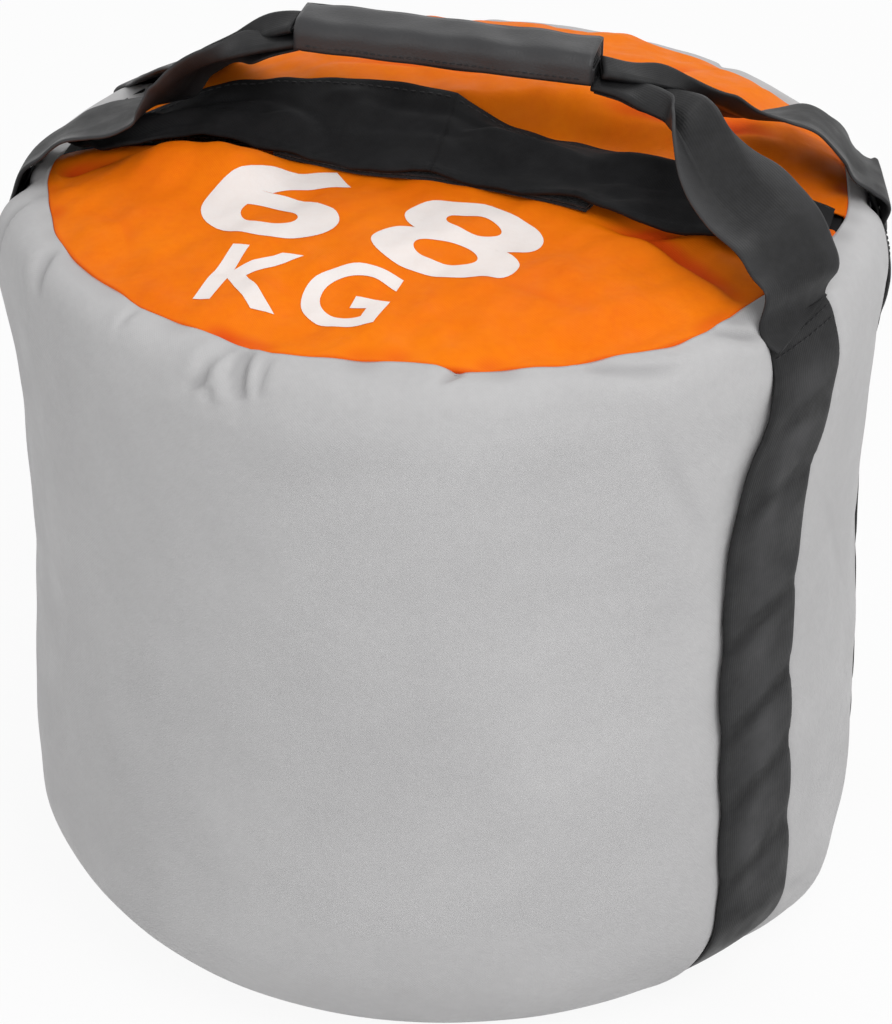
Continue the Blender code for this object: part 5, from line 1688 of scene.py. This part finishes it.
@dataclass
class HandleLeg:
    """A leg of flat webbing that folds in three as it nears the grip."""

    form: BagForm
    route: LegRoute
    width: float = 0.05
    thickness: float = 0.0019
    third: float = 0.0086
    bend_radius: float = 0.00118
    fold_degrees: float = 174.0
    rings: int = 96
    columns: int = 48
    cup: float = 0.0015
    over_strap: float = 0.0035
    # Heights of the first two stops from the stitch line
    sewn_span: tuple[float, float] = (-0.004, 0.001)
    # Share of its rise that the band loses where it is half folded
    fold_flattening: float = 0.45
    wave_height: float = 0.0009
    wave_length: float = 0.04

    def section(self, fold: float, cup: float) -> Array:
        """The band's cross-section, part folded: one third up and the other down.

        Args:
            fold: How far it is folded, 0 to 1.
            cup: How far its edges hang.

        Returns:
            The section as (across, out) pairs.
        """
        half = self.width / 2
        spots = np.linspace(-half, half, self.columns * 8 + 1)
        final = math.radians(self.fold_degrees)
        bend = max(self.bend_radius * final, 0.0008)
        turn = final * fold * np.clip((np.abs(spots) - self.third) / bend, 0, 1)
        step = spots[1] - spots[0]
        across, rise = np.cumsum(np.cos(turn)) * step, -np.cumsum(np.sin(turn)) * step
        across -= across[len(spots) // 2]
        rise -= rise[len(spots) // 2]
        rise *= 1 - self.fold_flattening * math.sin(math.pi * fold)
        rise -= cup * (spots / half) ** 2
        line = np.stack([across, rise], axis=-1)[::8]
        lift = np.full((len(line), 1), self.thickness / 2)
        lift[[0, -1]] *= 0.45
        lift[[1, -2]] *= 0.9
        return np.vstack([line - left_of(line) * lift, (line + left_of(line) * lift)[::-1]])

    def sewn(self) -> Array:
        """The two stops over the stitch line, flat on the end of the strap below.

        Returns:
            Rows of place, direction of the width, and fold.
        """
        form, rows = self.form, []
        seam = self.route.loop.seam(self.route.right)
        for height in (seam + step for step in self.sewn_span):
            turn = form.loop_angle(self.route.loop, np.array(height), self.route.right)
            spot = polar(form.at_height(np.array(height))[0], turn, np.array(height))
            out = form.webbing_gap + self.over_strap - form.sink(np.array(height))
            spot = form.on_wall(spot[None], out)[0]
            across = np.array([-math.sin(turn), math.cos(turn), 0.0])
            rows.append([*spot, *(across * np.sign(across[1])), 0.0])
        return np.array(rows)

    def build(self, builder: Builder) -> None:
        """Make the leg, which runs from the bag to the grip.

        Args:
            builder: Dresses and places pieces.
        """
        dense = through(np.vstack([self.sewn(), self.route.stops]), self.rings)
        middle, across, fold = dense[:, :3], dense[:, 3:6], np.clip(dense[:, 6], 0, 1)
        share = np.linspace(0, 1, self.rings)
        cups = self.cup * (1 - smooth(share, 0.05, 0.4))
        sections = np.stack([self.section(*values) for values in zip(fold, cups)])
        facing = np.sign(np.dot(np.cross([0, 0, 1.0], across[0]), middle[0] * [1, 1, 0]))
        sections[..., 1] *= facing
        rings = swept(middle, across, sections)
        between = np.sin(np.pi * share)[:, None]
        rings[..., 2] += self.wave_height * Ripple(self.wave_length, 71).at(rings) * between
        leg = loft_mesh(self.route.name, rings)
        flat = np.linspace(-1, 1, self.columns + 1)
        # Painted sheen along both edges of the leg, strongest midway between its ends
        painted_sheen = 0.5 * np.clip(np.abs(flat) * 2 - 1, 0, 1) * between
        paint_shade_and_sheen(leg, np.concatenate([painted_sheen, painted_sheen[:, ::-1]], axis=1))
        builder.bridge(leg, "black_webbing_ribbed", ("root", "grip"),
                       (tuple(middle[2]), tuple(middle[-8])), self.route.node)


@dataclass
class HandGrip:
    """The padded grip: a sheet round the folded webbing and a flap that closes over it."""

    length: float = 0.14
    tilt_degrees: float = 1.4
    centre: tuple[float, float, float] = (0.0, 0.004, 0.4325)
    width: float = 0.0265
    height: float = 0.0185
    skin: float = 0.0022
    corner: float = 0.006
    lip: float = 0.004
    strip: float = 0.001
    gap: float = 0.0003
    webbing_width: float = 0.0162
    webbing_height: float = 0.0059
    stack_gap: float = 0.001
    layer_pitch: float = 0.0019
    layer_thickness: float = 0.0017
    # Length of a sheet's end over which it thins
    soft_end: float = 0.0016
    # How far the grip's inner end of the wrap stops short of its roof
    short_of_roof: float = 0.006
    wrap_corner: float = 0.0045
    puffs: tuple[float, float] = (0.00025, 0.0003)
    strip_width: float = 0.0078
    hinge_reach: float = 0.012
    stations: int = 72

    def frame(self, places: Array) -> Array:
        """Places given in the grip's own axes, in the part's axes.

        Args:
            places: Places in the grip's axes.

        Returns:
            The same places.
        """
        tilt = math.radians(self.tilt_degrees)
        x, y, z = places[..., 0], places[..., 1], places[..., 2]
        return np.stack([x * math.cos(tilt) + z * math.sin(tilt), y,
                         z * math.cos(tilt) - x * math.sin(tilt)], axis=-1) + self.centre

    def rounded(self, corners: Array, radius: float, steps: int = 8) -> Array:
        """A path through corners with each inner corner rounded and the runs divided.

        Args:
            corners: The corners in order.
            radius: Radius of the rounding.
            steps: Places in each rounding.

        Returns:
            The path.
        """
        path = [corners[0]]
        for before, spot, after in zip(corners, corners[1:], corners[2:]):
            back, ahead = unit(before - spot) * radius, unit(after - spot) * radius
            turn = np.linspace(0, np.pi / 2, steps)[:, None]
            arc = spot + back + ahead - ahead * np.cos(turn) - back * np.sin(turn)
            start = path[-1]
            share = np.linspace(0, 1, 6)[1:, None]
            path.extend(start + (arc[0] - start) * share)
            path.extend(arc[1:])
        share = np.linspace(0, 1, 6)[1:, None]
        path.extend(path[-1] + (corners[-1] - path[-1]) * share)
        return np.array(path)

    def sheet(self, name: str, path: Array, seed: int, puff: float) -> Piece:
        """A padded sheet of constant path along the grip, with soft ends and edges.

        Args:
            name: The piece's name.
            path: The sheet's cross-section.
            seed: Seed of its unevenness.
            puff: Height of its unevenness.

        Returns:
            The sheet.
        """
        x = np.linspace(-0.5, 0.5, self.stations) * self.length
        side = left_of(path)
        near_end = np.minimum(x + self.length / 2, self.length / 2 - x)
        soft = 0.35 + 0.65 * np.sqrt(np.clip(near_end / self.soft_end, 0, 1))
        rim = np.ones(len(path))
        rim[[0, -1]], rim[[1, -2]] = 0.4, 0.9
        half = self.skin / 2 * soft[:, None] * rim
        plan = np.stack(np.broadcast_arrays(x[:, None], path[None, :, 0] + path[None, :, 1]),
                        axis=-1)
        wave = puff * Ripple(0.028, seed).at(plan) * soft[:, None]
        loops = []
        for sign in (-1, 1):
            offset = sign * half[..., None] * side + wave[..., None] * side
            flat = path + offset
            points = np.concatenate([np.broadcast_to(x[:, None, None], (*flat.shape[:2], 1)),
                                     flat], axis=-1)
            loops.append(points if sign < 0 else points[:, ::-1])
        return loft_mesh(name, self.frame(np.concatenate(loops, axis=1)))

    def build(self, builder: Builder) -> None:
        """Make the wrap, its flap, the strips, the webbing inside and the stitching.

        Args:
            builder: Dresses and places pieces.
        """
        half_y, half_z, skin = self.width / 2, self.height / 2, self.skin / 2
        layer = -half_y + 3 * skin + 2 * self.strip + 3 * self.gap
        roof = half_z - self.skin - self.gap
        wrap = self.rounded(np.array([(half_y - skin, half_z - skin),
                                      (half_y - skin, -half_z + skin),
                                      (layer, -half_z + skin),
                                      (layer, roof - self.short_of_roof)]), self.wrap_corner)
        piece = self.sheet("grip_wrap_sheet", wrap, 81, self.puffs[0])
        builder.place(piece, "grip_sheet_smooth", "grip", "grip_wrap")
        low = -half_z + self.lip
        path = self.rounded(np.array([(half_y - skin, half_z - skin),
                                      (-half_y + skin, half_z - skin),
                                      (-half_y + skin, low)]), self.corner)
        lid = self.sheet("grip_wrap_flap", path, 82, self.puffs[1])
        hinge = self.frame(np.array([[0.0, half_y - skin, half_z - skin],
                                     [0.0, half_y - self.hinge_reach, half_z - skin]]))
        builder.bridge(lid, "grip_sheet_smooth", ("grip", "wrap_lid"),
                       (tuple(hinge[0]), tuple(hinge[1])), "wrap_flap")
        self.stitching(builder, path)
        self.strips(builder, low, half_y)
        self.inner_webbing(builder)

    def stitching(self, builder: Builder, path: Array) -> None:
        """A row of stitches close to the free edge of the flap.

        Args:
            builder: Dresses and places pieces.
            path: The flap's cross-section.
        """
        x = np.linspace(-0.47, 0.47, 60) * self.length
        place = path[-3] + [-self.skin / 2 - 0.0002, 0.0]
        row = self.frame(np.stack([x, np.full(60, place[0]), np.full(60, place[1])], axis=-1))
        out = np.broadcast_to(np.array([0.0, -1.0, 0.0]), row.shape)
        line = stitch_line("grip_edge_stitches", row, out, pitch=0.0034, length=0.0024,
                           radius=0.00024)
        builder.place(line, "black_thread", "wrap_lid")

    def band(self, name: str, y: float, z: float, width: float, thickness: float, length: float,
             upright: bool) -> Piece:
        """A straight band along the grip, flat or on edge.

        Args:
            name: The piece's name.
            y: Its place across the grip.
            z: Its height.
            width: Its width.
            thickness: Its thickness.
            length: Its length.
            upright: Whether its width stands up.

        Returns:
            The band.
        """
        x = np.linspace(-0.5, 0.5, 24) * length
        route = self.frame(np.stack(np.broadcast_arrays(x, y, z), axis=-1))
        across = np.array([0.0, 0.0, 1.0]) if upright else np.array([0.0, 1.0, 0.0])
        return loft_mesh(name, swept(route, across, band_section(width, thickness)))

    def strips(self, builder: Builder, low: float, half_y: float) -> None:
        """The hook and loop strips that hold the flap down.

        Args:
            builder: Dresses and places pieces.
            low: Height of the flap's free edge.
            half_y: Half the grip's width.
        """
        hook_y = -half_y + self.skin + self.gap + self.strip / 2
        length, z = self.length - 2 * self.lip, low + 0.004 + self.gap
        for name, y, body, node in (
                ("wrap_hooks", hook_y, "wrap_lid", "wrap_hook_strip"),
                ("wrap_loops", hook_y + self.strip + self.gap, "grip", "wrap_loop_strip")):
            # A little thinner than its place, so that the two never share a face
            piece = self.band(name, y, z, self.strip_width, self.strip * 0.95, length, True)
            builder.place(piece, "hook_and_loop_pile", body, node)

    def inner_webbing(self, builder: Builder) -> None:
        """The two folded stacks of webbing that run through the grip.

        Args:
            builder: Dresses and places pieces.
        """
        y = (self.skin + 2 * self.strip + 4 * self.gap) / 2
        level = (self.webbing_height + self.stack_gap) / 2
        for name, z, node in (("webbing_through_lower", -level, "front_grip_webbing"),
                              ("webbing_through_upper", level, "rear_grip_webbing")):
            for number in (-1, 0, 1):
                piece = self.band(f"{name}_{number + 2}", y, z + number * self.layer_pitch,
                                  self.webbing_width, self.layer_thickness,
                                  self.length - 0.001, False)
                builder.place(piece, "black_webbing_ribbed", "grip", node)


# ---- zip, bindings and inside


@dataclass
class ZipTrim:
    """The zip's tapes and plastic, and the hook and loop strips in front of it."""

    form: BagForm
    flap: ClosureFlap
    tape_width: float = 0.009
    tape_thickness: float = 0.001
    chain_half: float = 0.0034
    fabric: float = 0.002
    gap: float = 0.0003
    strip_width: float = 0.016
    strip_thickness: float = 0.0014
    strip_inset: float = 0.002
    strip_half: float = 0.076
    steps: int = 120

    def build(self, builder: Builder) -> None:
        """Lay the tapes and strips, and give the plastic pieces their finish.

        Args:
            builder: Dresses and places pieces.
        """
        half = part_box("zip_tape_front")[1].x
        x = np.linspace(-half, half, self.steps)
        for name, side in (("zip_tape_front", -1), ("zip_tape_rear", 1)):
            y = np.full(self.steps, side * (self.chain_half + self.tape_width / 2))
            z = self.form.dome(x, y) - self.fabric - self.gap - self.tape_thickness / 2
            self.lay(builder, f"{name}_woven", x, y, z, self.tape_width, self.tape_thickness,
                     "black_oxford", "root", name)
        x = np.linspace(-self.strip_half, self.strip_half, self.steps)
        y = self.flap.edges(x)[1] + self.strip_inset + self.strip_width / 2
        z = self.form.dome(x, y) + self.gap + self.strip_thickness / 2
        for name, lift, body, node in (
                ("front_loops", 0.0, "root", "front_loop_strip"),
                ("flap_hooks", self.strip_thickness + self.gap, "flap", "flap_hook_strip")):
            self.lay(builder, name, x, y, z + lift, self.strip_width, self.strip_thickness,
                     "hook_and_loop_pile", body, node)
        for node in ("zip_chain_front", "zip_chain_rear", "zip_stop_left", "zip_stop_right",
                     "zip_slider", "zip_pull"):
            builder.wardrobe.dress(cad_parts[node], "zip_moulding")
            LOG.info("%s keeps its frame shape", node)

    def lay(self, builder: Builder, name: str, x: Array, y: Array, z: Array, width: float,
            thickness: float, finish: str, body: str, node: str) -> None:
        """Lay a thin band along the zip."""
        rings = swept(np.stack([x, y, z], axis=-1), np.array([0.0, 1.0, 0.0]),
                      band_section(width, thickness, 8))
        builder.place(loft_mesh(name, rings), finish, body, node)


@dataclass
class BagInside:
    """Base panel, seam bindings, liner with its rolled neck, and the sand."""

    form: BagForm
    sides: int = 96
    base_sides: int = 240
    base_inset: float = 0.0015
    curl_width: float = 0.012
    curl_height: float = 0.003
    channel_depth: float = 0.0037
    # Where a channel's side starts and ends, from the webbing's middle line
    channel_side: tuple[float, float] = (0.0265, 0.0295)
    liner_gap: float = 0.004
    liner_thickness: float = 0.0008

    def turned(self, name: str, profile: Array) -> Piece:
        """Turn a closed (radius, height) outline round the axis."""
        angle = np.linspace(0, 2 * np.pi, self.sides, endpoint=False)[:, None]
        return loft_mesh(name, polar(profile[:, 0], angle, profile[:, 1]), closed=True)

    def build(self, builder: Builder) -> None:
        """Make the pieces that the fabric hides and dress them.

        Args:
            builder: Dresses and places pieces.
        """
        for name, node in (("base_binding_tape", "base_seam_binding"),
                           ("top_binding_tape", "top_seam_binding")):
            low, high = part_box(node)
            width, thick = 0.012 if "base" in name else 0.007, high.z - low.z
            middle = np.array([high.x - width / 2, (low.z + high.z) / 2])
            section = band_section(width - 0.0004, thick - 0.0001, 6)
            builder.place(self.turned(name, section + middle), "black_oxford", "root", node)
        self.base(builder)
        self.liner(builder)
        self.neck(builder)
        builder.wardrobe.dress(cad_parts["sand_fill"], "dry_sand")

    def base(self, builder: Builder) -> None:
        """The base panel: flat with two shallow channels for the webbing.

        Args:
            builder: Dresses and places pieces.
        """
        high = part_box("base_panel")[1]
        rim = self.form.line[self.form.wall_rows - 1, 0] - self.base_inset
        out = np.concatenate([np.linspace(0.002, rim - self.curl_width, 56),
                              np.linspace(rim - self.curl_width, rim, 9)[1:]])
        angle = np.linspace(-np.pi, np.pi, self.base_sides, endpoint=False)
        spots = polar(out[:, None], angle, 0.0)
        lift = np.zeros(spots.shape[:2])
        for loop in (FRONT_LOOP, REAR_LOOP):
            slope, middle = self.form.straight(loop)
            gap = np.abs(spots[..., 1] - slope * spots[..., 0] - middle) / math.hypot(1, slope)
            lift = np.maximum(lift, self.channel_depth * (1 - smooth(gap, *self.channel_side)))
        curl = np.clip(1 - (rim - out) / self.curl_width, 0, 1)[:, None]
        spots[..., 2] = np.maximum(lift, self.curl_height * curl**2 + 0.0002)
        top = spots[::-1].copy()
        top[..., 2] = high.z
        base = loft_mesh("base_fabric", np.concatenate([spots, top]))
        builder.place(base, "grey_oxford", "root", "base_panel")

    def liner(self, builder: Builder) -> None:
        """The liner bag, slightly slack between the wall and the sand.

        Args:
            builder: Dresses and places pieces.
        """
        low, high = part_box("liner_bag")
        form, rows = self.form, slice(self.form.wall_rows)
        keep = (form.line[rows, 1] < form.height - 0.045) & (form.line[rows, 1] > 0.016)
        wall = (form.line[rows] - form.normal[rows] * self.liner_gap)[keep][::8]
        line = np.vstack([[0.001, low.z], [wall[-1, 0] - 0.014, low.z], wall[::-1],
                          [form.radius - 0.016, form.height - 0.03],
                          [form.radius - 0.042, form.height - 0.014], [0.045, high.z]])
        inner = line + left_of(line) * self.liner_thickness
        piece = self.turned("liner_bag_sheet", np.vstack([line, inner[::-1]]))
        builder.place(piece, "liner_sheeting", "root", "liner_bag")

    def neck(self, builder: Builder) -> None:
        """The liner's neck rolled flat over its mouth, and the strip that holds it.

        Args:
            builder: Dresses and places pieces.
        """
        for name, node, finish, waves in (
                ("liner_neck_roll", "liner_neck", "liner_sheeting", 0.0003),
                ("liner_neck_band", "liner_neck_strip", "hook_and_loop_pile", 0.0)):
            low, high = (np.array(corner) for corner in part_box(node))
            size, middle = high - low, (high + low) / 2
            x = np.linspace(low[0], high[0], 50)
            route = np.stack(np.broadcast_arrays(x, middle[1], middle[2]), axis=-1)
            rings = swept(route, np.array([0.0, 1.0, 0.0]), band_section(size[1], size[2], 14))
            rings[..., 2] += waves * Ripple(0.012, 91).at(rings[..., :2])
            builder.place(loft_mesh(name, rings), finish, "root", node)


# ---- studio


@dataclass
class Studio:
    """Pale floor and backdrop, soft light and the camera."""

    azimuth_degrees: float = 13.5
    elevation_degrees: float = 30.2
    distance: float = 2.0
    lens: float = 144.25
    target: tuple[float, float, float] = (0.0, 0.0, 0.188)
    sensor: float = 36.0
    floor_size: float = 14.0
    floor_tone: float = 0.86
    floor_glow: float = 0.92
    world_strength: float = 0.5
    # Name, azimuth and elevation in degrees, distance, size and power of each lamp
    lamps: tuple = (("key", 48.0, 50.0, 2.6, 1.7, 26.0), ("front", -4.0, 22.0, 2.8, 1.8, 7.0),
                    ("left", -70.0, 40.0, 3.0, 1.6, 3.0), ("back", 165.0, 55.0, 3.0, 1.6, 12.0))

    def around(self, azimuth: float, elevation: float, distance: float) -> Vector:
        """A place round the target, with azimuth 0 in front and turning to the right."""
        turn, rise = math.radians(azimuth), math.radians(elevation)
        return Vector(self.target) + Vector((math.sin(turn) * math.cos(rise),
                                             -math.cos(turn) * math.cos(rise),
                                             math.sin(rise))) * distance

    def aim(self, piece: Piece) -> None:
        """Turn a lamp or camera to the target."""
        heading = Vector(self.target) - piece.location
        piece.rotation_euler = heading.to_track_quat("-Z", "Y").to_euler()

    def build(self) -> None:
        """Make the floor, the lamps, the world and the camera."""
        self.floor()
        for name, azimuth, elevation, distance, size, power in self.lamps:
            data = bpy.data.lights.new(name, "AREA")
            data.shape, data.size, data.energy = "DISK", size, power
            lamp = bpy.data.objects.new(name, data)
            bpy.context.scene.collection.objects.link(lamp)
            lamp.location = self.around(azimuth, elevation, distance)
            self.aim(lamp)
        self.world()
        data = bpy.data.cameras.new("camera")
        data.lens, data.sensor_width, data.sensor_height = self.lens, self.sensor, self.sensor
        data.sensor_fit = "AUTO"
        camera = bpy.data.objects.new("camera", data)
        bpy.context.scene.collection.objects.link(camera)
        camera.location = self.around(self.azimuth_degrees, self.elevation_degrees,
                                      self.distance)
        self.aim(camera)
        bpy.context.scene.camera = camera
        bpy.context.scene.view_settings.view_transform = "Standard"

    def floor(self) -> None:
        """The pale floor, which looks white and keeps a soft shadow."""
        half = self.floor_size / 2
        grid = np.array([[(-half, -half, 0.0), (half, -half, 0.0)],
                         [(-half, half, 0.0), (half, half, 0.0)]])
        floor = grid_mesh("studio_floor", grid)
        finish = bpy.data.materials.new("studio_floor")
        finish.use_nodes = True
        tree = Tree(finish.node_tree)
        seen = tree.seen()
        matte = tree.add("BsdfPrincipled", {"Base Color": (*[self.floor_tone] * 3, 1.0),
                                            "Roughness": 0.9, "Specular IOR Level": 0.1})
        glow = tree.add("Emission", {"Color": (1.0, 1.0, 1.0, 1.0), "Strength": 1.0})
        share = tree.math("MULTIPLY", seen, self.floor_glow)
        both = tree.add("MixShader", {0: share, 1: matte.outputs[0], 2: glow.outputs[0]})
        tree.add("OutputMaterial", {"Surface": both.outputs[0]})
        floor.data.materials.append(finish)

    def world(self) -> None:
        """White where the camera looks, and a plain soft light elsewhere."""
        world = bpy.data.worlds.new("studio")
        bpy.context.scene.world = world
        world.use_nodes = True
        tree = Tree(world.node_tree)
        strength = tree.remap(tree.seen(), 0.0, 1.0, self.world_strength, 1.0)
        sky = tree.add("Background", {"Color": (1.0, 1.0, 1.0, 1.0), "Strength": strength})
        tree.add("OutputWorld", {"Surface": sky.outputs[0]})


def main() -> None:
    """Build every sub-assembly in order, then the studio."""
    logging.basicConfig(level=logging.INFO, format="%(message)s")
    builder, form = Builder(), BagForm()
    panels, flap = TopPanels(form), ClosureFlap(form)
    for name, assembly in (("wall", BagWall(form)), ("top", panels),
                           ("weight mark", WeightMark()), ("flap", flap),
                           ("zip", ZipTrim(form, flap)), ("inside", BagInside(form)),
                           ("grip", HandGrip())):
        LOG.info("building the %s", name)
        assembly.build(builder)
    for name, node, loop in (("strap_front", "front_body_strap", FRONT_LOOP),
                             ("strap_rear", "rear_body_strap", REAR_LOOP)):
        BodyStrap(form, name, node, loop).build(builder)
    for route in LEG_ROUTES:
        HandleLeg(form, route).build(builder)
    Studio().build()


if __name__ == "__main__":
    main()
